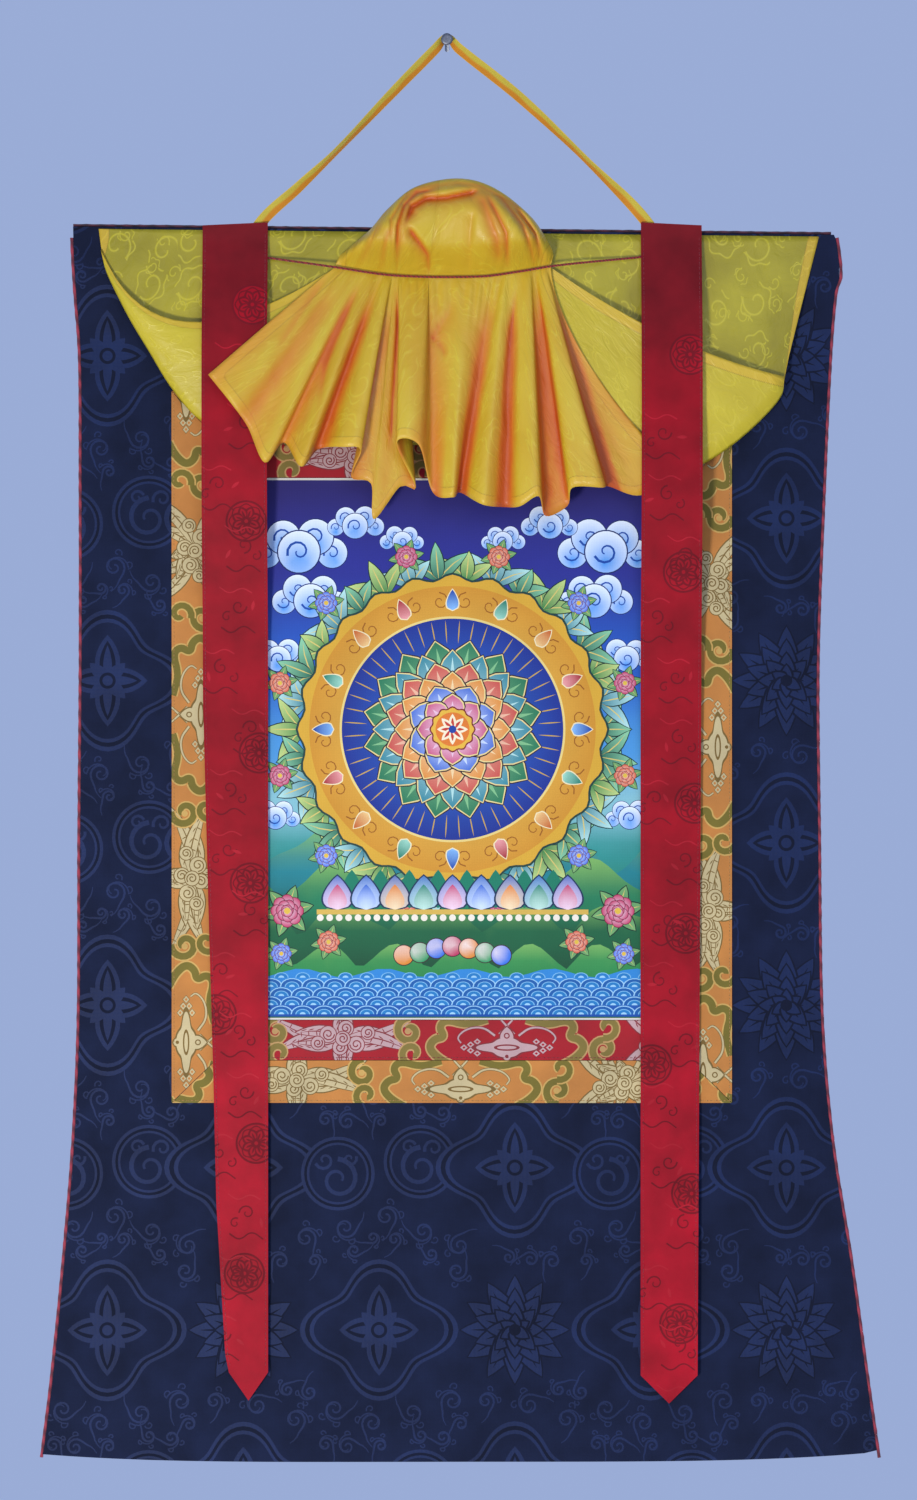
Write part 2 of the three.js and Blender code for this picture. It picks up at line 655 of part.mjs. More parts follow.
// Rows of the veil from its seam to its hem
function veilRows() {
  const columns = veilColumns();
  const rows = [];
  const addRow = (pointAt, facingAt = () => null) => {
    rows.push(columns.map((column) => ({ point: pointAt(column), facing: facingAt(column) })));
  };
  const toWall = new THREE.Vector3(0, 1, 0);
  const toFront = new THREE.Vector3(0, -1, 0);
  const seamPoint = (column) => {
    const x = lerp(veilSeam.left, veilSeam.right, column.share);
    return { x, z: topEdgeZ(x) - veilSeam.drop };
  };
  const foldPoint = (column) => ({
    x: columnAt(foldLine, 'share', 'x', column.share),
    z: columnAt(foldLine, 'share', 'z', column.share),
  });
  const foldSize = (column) => {
    const seam = seamPoint(column);
    const fold = foldPoint(column);
    return Math.min(1, Math.hypot(seam.x - fold.x, seam.z - fold.z) / foldFullLength);
  };
  const gatherX = (column) => lerp(gather.left, gather.right, column.along);

  // Down behind, from the seam to the fold line
  for (const way of [0, 0.5, 1]) {
    addRow((column) => {
      const seam = seamPoint(column);
      const fold = foldPoint(column);
      const depth = veilSeam.depth + foldRise.behind * foldSize(column) * way;
      return new THREE.Vector3(lerp(seam.x, fold.x, way), -depth, lerp(seam.z, fold.z, way));
    });
  }
  addRow((column) => {
    const fold = foldPoint(column);
    const depth = veilSeam.depth + foldRise.turn * foldSize(column);
    return new THREE.Vector3(fold.x, -depth, fold.z - foldRise.drop * foldSize(column));
  });

  // Up in front, from the fold line to the string
  for (const lift of liftDepths) {
    addRow((column) => {
      const fold = foldPoint(column);
      const towardX = columnAt(liftLine, 'share', 'x', column.share);
      const towardZ = columnAt(liftLine, 'share', 'z', column.share);
      const endX = gatherX(column);
      const endZ = stringZ(endX);
      const way = lift.way;
      const x = (1 - way) ** 2 * fold.x + 2 * way * (1 - way) * towardX + way ** 2 * endX;
      const z = (1 - way) ** 2 * fold.z + 2 * way * (1 - way) * towardZ + way ** 2 * endZ;
      const startDepth = veilSeam.depth + foldRise.front * foldSize(column);
      const depth = lerp(startDepth, gather.backDepth + gatherClearance, way) + lift.rise;
      return new THREE.Vector3(x, -depth, z);
    }, (column) => (column.share < narrowShare ? toWall : null));
  }

  // Back of the puff up to its rim
  const rimPoint = (column) => ({
    x: columnAt(rimLine, 'along', 'x', column.along),
    z: columnAt(rimLine, 'along', 'z', column.along),
  });
  const rimHeight = (column) => rimPoint(column).z - stringZ(gatherX(column));
  const isLow = (column) => rimHeight(column) < puffEnd.foldedRim;
  const rimDepth = (column) => {
    const size = THREE.MathUtils.smoothstep(rimHeight(column), puffEnd.lowRim, puffEnd.fullRim);
    return lerp(puffEnd.depth, puff.rimDepth, size);
  };
  const puffBackPoint = (column, way) => {
    const startX = gatherX(column);
    const rim = rimPoint(column);
    const depth = lerp(gather.backDepth, rimDepth(column), way ** 2);
    return new THREE.Vector3(lerp(startX, rim.x, way), -depth, lerp(stringZ(startX), rim.z, way));
  };
  const rimFacing = (column) => {
    const before = rimPoint({ along: Math.max(column.along - rimReach, 0) });
    const after = rimPoint({ along: Math.min(column.along + rimReach, 1) });
    const across = new THREE.Vector3(before.z - after.z, 0, after.x - before.x).normalize();
    const rim = rimPoint(column);
    const outward = new THREE.Vector3(rim.x - puff.centreX, 0, rim.z - puff.centreZ).normalize();
    return isLow(column) ? outward : across.add(outward).normalize();
  };
  addRow((column) => puffBackPoint(column, 0.5), (column) => (isLow(column) ? toWall : null));
  addRow((column) => puffBackPoint(column, 1), rimFacing);

  // Front of the puff down to the string
  const puffFrontPoint = (column, way) => {
    const endX = gatherX(column);
    const rim = rimPoint(column);
    const x = lerp(rim.x, endX, way);
    const z = lerp(rim.z, stringZ(endX), way);
    const cinchEnd = Math.min(cinch.end, cinch.share * rimHeight(column));
    const open = THREE.MathUtils.smoothstep(z - stringZ(endX), cinch.start, cinchEnd);
    const full = puffDepth(x, z, way, column.along, rim, rimDepth(column));
    const depth = lerp(gather.frontDepth, full, open);
    const clearDepth = lerp(rimDepth(column), gather.frontDepth, Math.min(way / puffRows[0], 1));
    return new THREE.Vector3(x, -Math.max(depth, clearDepth), z);
  };
  for (const way of [...puffRows, 1]) {
    addRow((column) => puffFrontPoint(column, way), (column) => (isLow(column) ? toFront : null));
  }

  // Fan from the string down to the hem
  for (const way of fanSteps) {
    addRow((column) => {
      const startX = gatherX(column);
      const x = lerp(startX, column.x, way ** column.lag);
      const z = lerp(stringZ(startX), column.z, way);
      const spread = Math.sin((Math.PI / 2) * way) ** 0.9;
      const common = (Math.min(fanMeanDepth, column.depth) - gather.frontDepth) * spread;
      const own = (column.depth - Math.min(fanMeanDepth, column.depth)) * way ** 0.8;
      return new THREE.Vector3(x, -(gather.frontDepth + common + own), z);
    });
  }
  return rows;
}

// Flat tape swept along its stations, its width turned by each station's face angle
function hangingTape() {
  const centres = tapeStations.map((station) => new THREE.Vector3(station.x, -station.depth, station.z));
  const curve = new THREE.CatmullRomCurve3(centres, false, 'centripetal');
  const halfWide = tapeWidth / 2;
  const halfThick = tapeThickness / 2;
  const innerWide = halfWide - tapeBevel;
  const innerThick = halfThick - tapeBevel / 2;
  const section = [
    [halfWide, -innerThick],
    [halfWide, innerThick],
    [innerWide, halfThick],
    [-innerWide, halfThick],
    [-halfWide, innerThick],
    [-halfWide, -innerThick],
    [-innerWide, -halfThick],
    [innerWide, -halfThick],
  ];
  const toWall = new THREE.Vector3(0, 1, 0);
  const rings = [];
  for (let step = 0; step <= tapeSteps; step += 1) {
    const t = step / tapeSteps;
    const place = t * (tapeStations.length - 1);
    const index = Math.min(Math.floor(place), tapeStations.length - 2);
    const centre = curve.getPoint(t);
    const tangent = curve.getTangent(t);
    const deep = toWall.clone().addScaledVector(tangent, -tangent.dot(toWall)).normalize();
    const out = new THREE.Vector3().crossVectors(deep, tangent);
    const degrees = lerp(tapeStations[index].face, tapeStations[index + 1].face, place - index);
    const face = THREE.MathUtils.degToRad(degrees);
    const wide = deep.clone().multiplyScalar(Math.cos(face)).addScaledVector(out, Math.sin(face));
    const thick = new THREE.Vector3().crossVectors(tangent, wide);
    rings.push(section.map(([w, h]) => centre.clone().addScaledVector(wide, w).addScaledVector(thick, h)));
  }
  return bodyThroughRings(rings);
}

// Round string along its points
function gatherString() {
  const centres = stringPoints.map((point) => new THREE.Vector3(point.x, -point.depth, point.z));
  const section = new THREE.Shape();
  section.absarc(0, 0, stringDiameter / 2, 0, 2 * Math.PI);
  return new THREE.ExtrudeGeometry(section, {
    steps: stringSteps,
    curveSegments: cordSides,
    extrudePath: new THREE.CatmullRomCurve3(centres, false, 'centripetal'),
  });
}

// Nail driven in so that it rises towards its head, its rear end flat in the wall plane
function nail() {
  const profile = [
    new THREE.Vector2(0, 0),
    new THREE.Vector2(nailRadius, 0),
    new THREE.Vector2(nailRadius, nailLength - 2 * nailHeadThickness),
    new THREE.Vector2(nailHeadRadius, nailLength - nailHeadThickness),
    new THREE.Vector2(nailHeadCrownRadius, nailLength - nailHeadBevel),
    new THREE.Vector2(0, nailLength),
  ];
  const geometry = new THREE.LatheGeometry(profile, nailSides);
  geometry.rotateX(Math.PI);
  const slope = -Math.tan(nailRiseAngle);
  const rise = new THREE.Matrix4().set(1, 0, 0, 0, 0, 1, 0, 0, 0, slope, 1, 0, 0, 0, 0, 1);
  geometry.applyMatrix4(rise);
  return geometry;
}

const thangka = new THREE.Group();
const navy = cloth(0x1a2340, 0.85);
const ochre = cloth(0xd28a3c, 0.6);
const red = cloth(0xb01622, 0.6);
const ribbonRed = cloth(0xa81726, 0.5);
const yellowSatin = cloth(0xd3b53c, 0.45);
const nailSteel = new THREE.MeshStandardMaterial({ color: 0x6c7078, roughness: 0.5, metalness: 0.8 });

thangka.add(namedMesh('ground_cloth', groundCloth(), navy));
thangka.add(namedMesh('piping_left', sidePiping('left', -1), cloth(0x9a2b3a, 0.8)));
thangka.add(namedMesh('piping_right', sidePiping('right', 1), cloth(0x9a2b3a, 0.8)));
thangka.add(namedMesh('piping_top', topPiping(), cloth(0x4a1f2a, 0.8)));
for (const side of ['top', 'bottom', 'left', 'right']) {
  const redEdge = drawnIn(redOutline, -gap);
  thangka.add(namedMesh(`yellow_border_${side}`, borderStrip(yellowOutline, redEdge, side), ochre));
  thangka.add(namedMesh(`red_border_${side}`, borderStrip(redOutline, panelOutline, side), red));
}
thangka.add(namedMesh('painting_panel', paintingPanel(), cloth(0x2c5a8c, 0.7)));
thangka.add(namedMesh('ribbon_left', ribbon(leftRibbonEdges, 'right'), ribbonRed));
thangka.add(namedMesh('ribbon_right', ribbon(rightRibbonEdges, 'left'), ribbonRed));
thangka.add(namedMesh('veil', drapedSheet(veilRows(), veilThickness), yellowSatin));
thangka.add(namedMesh('gather_string', gatherString(), cloth(0x9b1f16, 0.7)));
thangka.add(namedMesh('hanging_tape', hangingTape(), cloth(0xe0a83a, 0.6)));
thangka.add(namedMesh('nail', nail(), nailSteel));

export default thangka;
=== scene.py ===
import math

import bpy
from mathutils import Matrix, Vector, noise
from mathutils.geometry import delaunay_2d_cdt


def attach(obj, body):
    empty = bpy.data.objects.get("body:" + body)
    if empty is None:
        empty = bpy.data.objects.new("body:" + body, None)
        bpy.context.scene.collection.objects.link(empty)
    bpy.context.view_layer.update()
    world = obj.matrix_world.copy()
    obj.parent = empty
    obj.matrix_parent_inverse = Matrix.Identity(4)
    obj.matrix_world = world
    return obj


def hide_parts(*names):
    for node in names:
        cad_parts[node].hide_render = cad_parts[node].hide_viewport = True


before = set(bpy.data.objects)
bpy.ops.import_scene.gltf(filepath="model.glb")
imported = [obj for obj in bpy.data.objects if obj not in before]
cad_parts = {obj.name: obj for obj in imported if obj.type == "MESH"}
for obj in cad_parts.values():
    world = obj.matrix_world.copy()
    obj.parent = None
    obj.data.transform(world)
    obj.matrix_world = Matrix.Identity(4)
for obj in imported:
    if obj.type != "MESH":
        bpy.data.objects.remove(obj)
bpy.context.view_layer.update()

# Camera and room
# The hanging is seen from straight in front, from 2.6 m, in a pale blue room.
# The main light stands low at the left, so shadows fall up and a little to the right.
MM = 0.001
FLOOR_REACH, FLOOR_HEIGHT = 1.2, -1.45
scene = bpy.context.scene
scene.view_settings.view_transform = "Standard"
camera_data = bpy.data.cameras.new("front_camera")
camera_data.sensor_fit = "VERTICAL"
camera_data.sensor_height = 36
camera_data.lens = 91.8
camera = bpy.data.objects.new("front_camera", camera_data)
camera.location = (7.8 * MM, -2.6, -476 * MM)
camera.rotation_euler = (math.radians(90), 0, 0)
scene.collection.objects.link(camera)
scene.camera = camera

room = bpy.data.worlds.new("pale_room")
room.use_nodes = True
room.node_tree.nodes["Background"].inputs["Color"].default_value = (0.36, 0.46, 0.75, 1)
room.node_tree.nodes["Background"].inputs["Strength"].default_value = 0.9
scene.world = room


def add_light(name, place, aim, size, watts, colour):
    light = bpy.data.lights.new(name, "AREA")
    light.size = size
    light.energy = watts
    light.color = colour
    lamp = bpy.data.objects.new(name, light)
    lamp.location = place
    lamp.rotation_euler = (Vector(aim) - Vector(place)).to_track_quat("-Z", "Y").to_euler()
    scene.collection.objects.link(lamp)


def add_piece(name, verts, polys):
    """Object with a smooth mesh of its own"""
    mesh = bpy.data.meshes.new(name)
    mesh.from_pydata(verts, [], polys)
    mesh.shade_smooth()
    piece = bpy.data.objects.new(name, mesh)
    scene.collection.objects.link(piece)
    return piece


def add_node(tree, kind, values, **settings):
    """Node with its settings and values, where a socket of another node as a value is linked to it"""
    node = tree.nodes.new("ShaderNode" + kind)
    for name, setting in settings.items():
        setattr(node, name, setting)
    set_values(tree, node, values)
    return node.outputs


def set_values(tree, node, values):
    for name, value in values.items():
        if isinstance(value, bpy.types.NodeSocket):
            tree.links.new(value, node.inputs[name])
        else:
            node.inputs[name].default_value = value


def new_material(name):
    material = bpy.data.materials.new(name)
    material.use_nodes = True
    return material, material.node_tree, material.node_tree.nodes["Principled BSDF"]


add_light("low_left_light", (-0.75, -1.9, -1.15), (0, 0, -0.4), 0.3, 30, (1, 0.97, 0.92))
add_light("front_fill", (0.5, -2.6, 0.3), (0, 0, -0.5), 1.4, 12, (0.95, 0.97, 1))
add_light("back_fill", (0.6, 2.2, -1.0), (0, 0, -0.6), 1.4, 20, (0.95, 0.97, 1))

floor_corners = [
    (-FLOOR_REACH, -FLOOR_REACH, FLOOR_HEIGHT), (FLOOR_REACH, -FLOOR_REACH, FLOOR_HEIGHT),
    (FLOOR_REACH, FLOOR_REACH, FLOOR_HEIGHT), (-FLOOR_REACH, FLOOR_REACH, FLOOR_HEIGHT),
]
pale_floor = add_piece("pale_floor", floor_corners, [(0, 1, 2, 3)])
floor_paint, _, floor_shader = new_material("pale_floor_paint")
floor_shader.inputs["Base Color"].default_value = (0.6, 0.65, 0.75, 1)
pale_floor.data.materials.append(floor_paint)

# Ground cloth
# A lined sheet of dark blue damask, woven tone on tone with lobed flowers, blooms, roundels and curls.
# Its top is turned over a flat batten, and below it the cloth falls back and flares to a heavy hem.
# Its back is a plain lining with a row of stitches along each edge.
# Each height, and the x of the left and the right edge there, in millimetres as all sizes here
SIDE_EDGES = (
    (-960, -274, 292), (-903, -267, 284), (-822, -259, 273), (-741, -252.5, 260.5), (-659, -249, 253.5),
    (-537, -248.5, 251.5), (-415, -247.5, 250.5), (-293, -247.5, 255), (-211, -248, 259), (-165, -251, 262.5),
    (-156, -251.5, 265.5), (-137, -252.5, 264), (-120, -253, 261),
)
HALF_WIDTH = 283
CASING_HEIGHT = 21
# Depth, length across, length down and shift of each slow wave in the cloth
CLOTH_WAVES = ((0.9, 520, 610, 0.7), (0.6, 300, 420, 2.1))
NAVY = "#151d36"
NAVY_FIGURE = "#152449"
NAVY_LINE = "#11172b"


def dye(code):
    """Linear colour of a hex code"""
    parts = [int(code[start:start + 2], 16) / 255 for start in (1, 3, 5)]
    return tuple(part / 12.92 if part < 0.04045 else ((part + 0.055) / 1.055) ** 2.4 for part in parts)


def mix(first, second, share):
    return tuple(a + (b - a) * share for a, b in zip(first, second))


def smoothstep(value, low, high):
    share = min(max((value - low) / (high - low), 0), 1)
    return share * share * (3 - 2 * share)


def value_at(rows, column, place):
    """Value of one column at a place along the first one, on a smooth curve through the rows"""
    index = 0
    while index < len(rows) - 2 and rows[index + 1][0] < place:
        index += 1
    start, end = rows[index], rows[index + 1]
    before, after = rows[max(index - 1, 0)], rows[min(index + 2, len(rows) - 1)]
    span = end[0] - start[0]
    t = min(max((place - start[0]) / span, 0), 1)
    start_slope = (end[column] - before[column]) / (end[0] - before[0])
    end_slope = (after[column] - start[column]) / (after[0] - start[0])
    value = (1 + 2 * t) * (1 - t) ** 2 * start[column] + t * (1 - t) ** 2 * span * start_slope
    return value + t * t * (3 - 2 * t) * end[column] + t * t * (t - 1) * span * end_slope


def side_x(side, z):
    return value_at(SIDE_EDGES, side, z)


def top_edge(x):
    return -124.7 - 0.0107 * x


def bottom_edge(x):
    return -958.5 + 7 * (x / HALF_WIDTH) ** 4


def cloth_depth(x, z):
    fallen = smoothstep(top_edge(x) - CASING_HEIGHT - z, 0, 60)
    depth = 13 + (8 - 13) * fallen
    for height, length_x, length_z, shift in CLOTH_WAVES:
        phase = 2 * math.pi * x / length_x + shift
        depth += fallen * height * math.sin(phase) * math.cos(2 * math.pi * z / length_z)
    down = min(max((-124.7 - z) / (958.5 - 124.7), 0), 1)
    return depth + 5 * (x / HALF_WIDTH) ** 4 * down ** 6


def ground_back(x, z):
    in_casing = smoothstep(z - (top_edge(x) - CASING_HEIGHT), -4, 0)
    return (cloth_depth(x, z) - 2) * (1 - in_casing) + 1 * in_casing


def band(path, width, taper=0.0):
    """Outline of a band along a path, narrowing to its end"""
    left, right = [], []
    for index, (x, z) in enumerate(path):
        ahead, behind = path[min(index + 1, len(path) - 1)], path[max(index - 1, 0)]
        dx, dz = ahead[0] - behind[0], ahead[1] - behind[1]
        size = math.hypot(dx, dz) or 1
        half = width / 2 * (1 - taper * index / (len(path) - 1))
        left.append((x - dz / size * half, z + dx / size * half))
        right.append((x + dz / size * half, z - dx / size * half))
    return left + right[::-1]


def rounded(path):
    """The same path with its corners cut back three times"""
    for _ in range(3):
        cut = [path[0]]
        for (ax, az), (bx, bz) in zip(path, path[1:]):
            cut.append((ax * 0.75 + bx * 0.25, az * 0.75 + bz * 0.25))
            cut.append((ax * 0.25 + bx * 0.75, az * 0.25 + bz * 0.75))
        path = cut + [path[-1]]
    return path


def curl(x, z, radius, turns, start, sense=1, count=18):
    path = []
    for step in range(count):
        share = step / (count - 1)
        angle = math.radians(start) + sense * share * turns * 2 * math.pi
        reach = radius * (1 - 0.8 * share)
        path.append((x + reach * math.cos(angle), z + reach * math.sin(angle)))
    return path


def swung(x, z, turn, shape):
    """Shape drawn along and across a direction from a place"""
    cos, sin = math.cos(math.radians(turn)), math.sin(math.radians(turn))
    return [(x + a * cos - o * sin, z + a * sin + o * cos) for a, o in shape]


def around(x, z, radius, turn):
    return x + radius * math.cos(math.radians(turn)), z + radius * math.sin(math.radians(turn))


def lobed(x, z, radius, lobes=0, depth=0.0, stretch=1.0, count=48):
    """Closed round shape with lobes"""
    shape = []
    for step in range(count):
        angle = 2 * math.pi * step / count
        reach = radius * (1 + depth * math.cos(lobes * angle))
        shape.append((x + stretch * reach * math.cos(angle), z + reach * math.sin(angle)))
    return shape


def petal(x, z, length, width, turn, point=1.0, count=9, bend=0.0):
    """Pointed petal from its foot outward, straight or bent to one side"""
    side = [(0, 0)]
    for step in range(1, count - 1):
        share = step / (count - 1)
        side.append((share * length, width / 2 * math.sin(math.pi * share ** point) ** 0.8))
    side.append((length, 0))
    shape = side + [(along, -out) for along, out in side[-2:0:-1]]
    return swung(x, z, turn, [(along, out + bend * along * along / length) for along, out in shape])


def turned_left(shape):
    area = sum(a[0] * b[1] - b[0] * a[1] for a, b in zip(shape, shape[1:] + shape[:1]))
    return list(shape) if area > 0 else list(shape)[::-1]


def cloth_sheet(name, outline, figures, step, front_depth, back_depth, ground, lining=None):
    """Closed sheet of cloth with its figures let into the front. Each figure is an outline and a colour
    with its sheen, or a function of place that gives them, and later ones lie over earlier ones."""
    outline = turned_left(outline)
    points, polygons, tones = [Vector(place) for place in outline], [list(range(len(outline)))], [ground]
    for shape, tone in figures:
        polygons.append(list(range(len(points), len(points) + len(shape))))
        points.extend(Vector(place) for place in turned_left(shape))
        tones.append(tone)
    low_x, high_x = min(p[0] for p in outline), max(p[0] for p in outline)
    low_z, high_z = min(p[1] for p in outline), max(p[1] for p in outline)
    grid = []
    for row in range(1, int((high_z - low_z) / step[1]) + 1):
        for column in range(1, int((high_x - low_x) / step[0]) + 1):
            grid.append(Vector((low_x + column * step[0] + 0.05, low_z + row * step[1] + 0.05)))
    places, _, faces, _, _, sources = delaunay_2d_cdt(points + grid, [], polygons, 0, 1e-3)
    kept = [(face, max(source)) for face, source in zip(faces, sources) if 0 in source]
    after = {}
    for face, _ in kept:
        for a, b in zip(face, face[1:] + face[:1]):
            after[(a, b)] = True
    ahead = {a: b for a, b in after if (b, a) not in after}
    loop = [next(iter(ahead))]
    while ahead[loop[-1]] != loop[0]:
        loop.append(ahead[loop[-1]])
    rim = [places[index] for index in loop]
    rim_polygon = [list(range(len(rim)))]
    behind, _, back_faces, rim_of, _, back_sources = delaunay_2d_cdt(rim + grid, [], rim_polygon, 0, 1e-3)
    verts, polys, colours, front_of, back_of, back_of_rim = [], [], [], {}, {}, {}
    for face, source in kept:
        tone = tones[source]
        for corner in face:
            x, z = places[corner]
            if corner not in front_of:
                front_of[corner] = len(verts)
                verts.append((x * MM, -front_depth(x, z) * MM, z * MM))
            colours.extend(tone(x, z) if callable(tone) else tone)
        polys.append(tuple(front_of[corner] for corner in face))
    for face in (face for face, source in zip(back_faces, back_sources) if 0 in source):
        for corner in face:
            x, z = behind[corner]
            if corner not in back_of:
                back_of[corner] = len(verts)
                verts.append((x * MM, -back_depth(x, z) * MM, z * MM))
                for origin in rim_of[corner]:
                    back_of_rim[origin] = back_of[corner]
        polys.append(tuple(back_of[corner] for corner in reversed(face)))
    for k in range(len(loop)):
        n = (k + 1) % len(loop)
        polys.append((front_of[loop[n]], front_of[loop[k]], back_of_rim[k], back_of_rim[n]))
    corners = sum(len(poly) for poly in polys)
    colours.extend(list(lining or ground) * (corners - len(colours) // 4))
    piece = add_piece(name, verts, polys)
    weave = piece.data.color_attributes.new("Weave", "FLOAT_COLOR", "CORNER")
    weave.data.foreach_set("color", colours)
    piece.data.set_sharp_from_angle(angle=math.radians(50))
    piece.data.validate()
    return piece


def cloth_material(name, thread, ground_shine, figure_shine, glint, grain, relief, mottle=0.12):
    """Woven cloth: the colour and the figure's sheen come from the Weave attribute, the threads from a
    fine grid"""
    material, tree, shader = new_material(name)
    weave = add_node(tree, "Attribute", {}, attribute_name="Weave")
    place = add_node(tree, "TexCoord", {})["Object"]
    blotch = add_node(tree, "TexNoise", {"Vector": place, "Scale": 38, "Detail": 5})["Fac"]
    uneven = {"Value": blotch, "From Min": 0.3, "From Max": 0.7, "To Min": 1 - mottle, "To Max": 1 + mottle}
    shade = add_node(tree, "MapRange", uneven)["Result"]
    wave = {"Vector": place, "Scale": 2 * math.pi / thread / 20, "Distortion": 1.2, "Detail": 2}
    warp, weft = (add_node(tree, "TexWave", wave, bands_direction=way)["Fac"] for way in ("X", "Z"))
    cross = add_node(tree, "Math", {0: warp, 1: weft}, operation="MULTIPLY")["Value"]
    fine = add_node(tree, "MapRange", {"Value": cross, "To Min": 1 - grain, "To Max": 1 + grain})["Result"]
    both = add_node(tree, "Math", {0: shade, 1: fine}, operation="MULTIPLY")["Value"]
    tint = add_node(tree, "VectorMath", {0: weave["Color"], "Scale": both}, operation="SCALE")["Vector"]
    sheen = {"Value": weave["Alpha"], "To Min": ground_shine, "To Max": figure_shine}
    gloss = add_node(tree, "MapRange", sheen)["Result"]
    lift = add_node(tree, "Math", {0: weave["Alpha"], 1: 1.5, 2: cross}, operation="MULTIPLY_ADD")["Value"]
    bump = add_node(tree, "Bump", {"Height": lift, "Strength": relief, "Distance": 0.3 * MM})["Normal"]
    look = {"Base Color": tint, "Roughness": gloss, "Specular IOR Level": glint, "Normal": bump}
    set_values(tree, shader, look)
    return material


def ring(shape_at, radius, width, tone, inner):
    """Line around a shape: the shape in the line's colour, and a smaller one over it"""
    return [(shape_at(radius), tone), (shape_at(radius - width), inner)]


navy_ground = (*dye(NAVY), 0.0)
navy_figure = (*dye(NAVY_FIGURE), 1.0)
navy_line = (*dye(NAVY_LINE), 0.0)


def damask_flower(x, z):
    """Flower of four double-outlined lobes around a cross of petals"""
    def outer(radius):
        return [(x + (px - x) * 1.12, pz) for px, pz in lobed(x, z, radius, 4, 0.17, count=72)]
    figures = ring(outer, 41, 2.6, navy_figure, navy_line)
    figures += ring(outer, 36, 2.2, navy_figure, navy_ground)
    for turn in (0, 90, 180, 270):
        long = 31 if turn % 180 else 27
        for shorter, width, tone in ((0, 17, navy_figure), (4, 11, navy_line), (7, 6, navy_figure)):
            figures.append((petal(x, z, long - shorter, width, turn, 0.8), tone))
    for turn in (45, 135, 225, 315):
        figures.append((petal(x, z, 17, 9, turn, 0.8), navy_figure))
    return figures + ring(lambda radius: lobed(x, z, radius), 5.5, 2, navy_line, navy_figure)


def damask_bloom(x, z):
    """Full bloom of three rounds of petals, each with a dark gap between"""
    figures = []
    for count, length, width, shift in ((12, 38, 19, 0), (10, 29, 17, 18), (8, 20, 14, 0), (6, 12, 10, 30)):
        for number in range(count):
            turn = shift + 360 * number / count
            figures.append((petal(x, z, length, width, turn, 0.6), navy_line))
            figures.append((petal(x, z, length - 1.4, width - 3, turn, 0.6), navy_figure))
            figures.append((petal(x, z, length - 8, 1.6, turn), navy_line))
    figures.append((lobed(x, z, 4), navy_line))
    return figures


def damask_roundel(x, z, sense):
    """Round curl with a double rim"""
    figures = ring(lambda radius: lobed(x, z, radius, count=36), 25, 2.2, navy_figure, navy_line)
    figures += ring(lambda radius: lobed(x, z, radius, count=36), 21, 1.6, navy_figure, navy_ground)
    large = band(curl(x, z - 4, 14, 1.3, 90, sense, 26), 3.4, 0.5)
    middle = band(curl(x + 9 * sense, z + 9, 6.5, 1.1, 200, -sense, 14), 2.2, 0.4)
    small = band(curl(x - 8 * sense, z + 10, 5, 1.1, 20, sense, 14), 2.0, 0.4)
    return figures + [(large, navy_figure), (middle, navy_figure), (small, navy_figure)]


def damask_cloud(x, z, size, turn, sense):
    """Curled cloud: a double curl with two lobes on its back and a short tail"""
    start = math.degrees(turn)
    figures = [(band(curl(x, z, size, 1.35, start, sense, 20), 1.5, 0.2), navy_figure)]
    figures.append((band(curl(x, z, size + 2.4, 0.6, start + 30 * sense, sense, 14), 1.0, 0.3), navy_figure))
    for share in (0.12, 0.3):
        angle = turn + sense * share * 2 * math.pi
        lobe_x, lobe_z = x + (size + 2.6) * math.cos(angle), z + (size + 2.6) * math.sin(angle)
        lobe = curl(lobe_x, lobe_z, size * 0.42, 0.9, math.degrees(angle) - 110 * sense, sense, 10)
        figures.append((band(lobe, 1.0, 0.2), navy_figure))
    tail = [(x + size * math.cos(turn), z + size * math.sin(turn))]
    for step in range(1, 5):
        swing = turn - sense * (0.5 + 0.16 * step)
        tail.append((x + (size + 2.3 * step) * math.cos(swing), z + (size + 2.3 * step) * math.sin(swing)))
    figures.append((band(tail, 1.4, 0.6), navy_figure))
    return figures


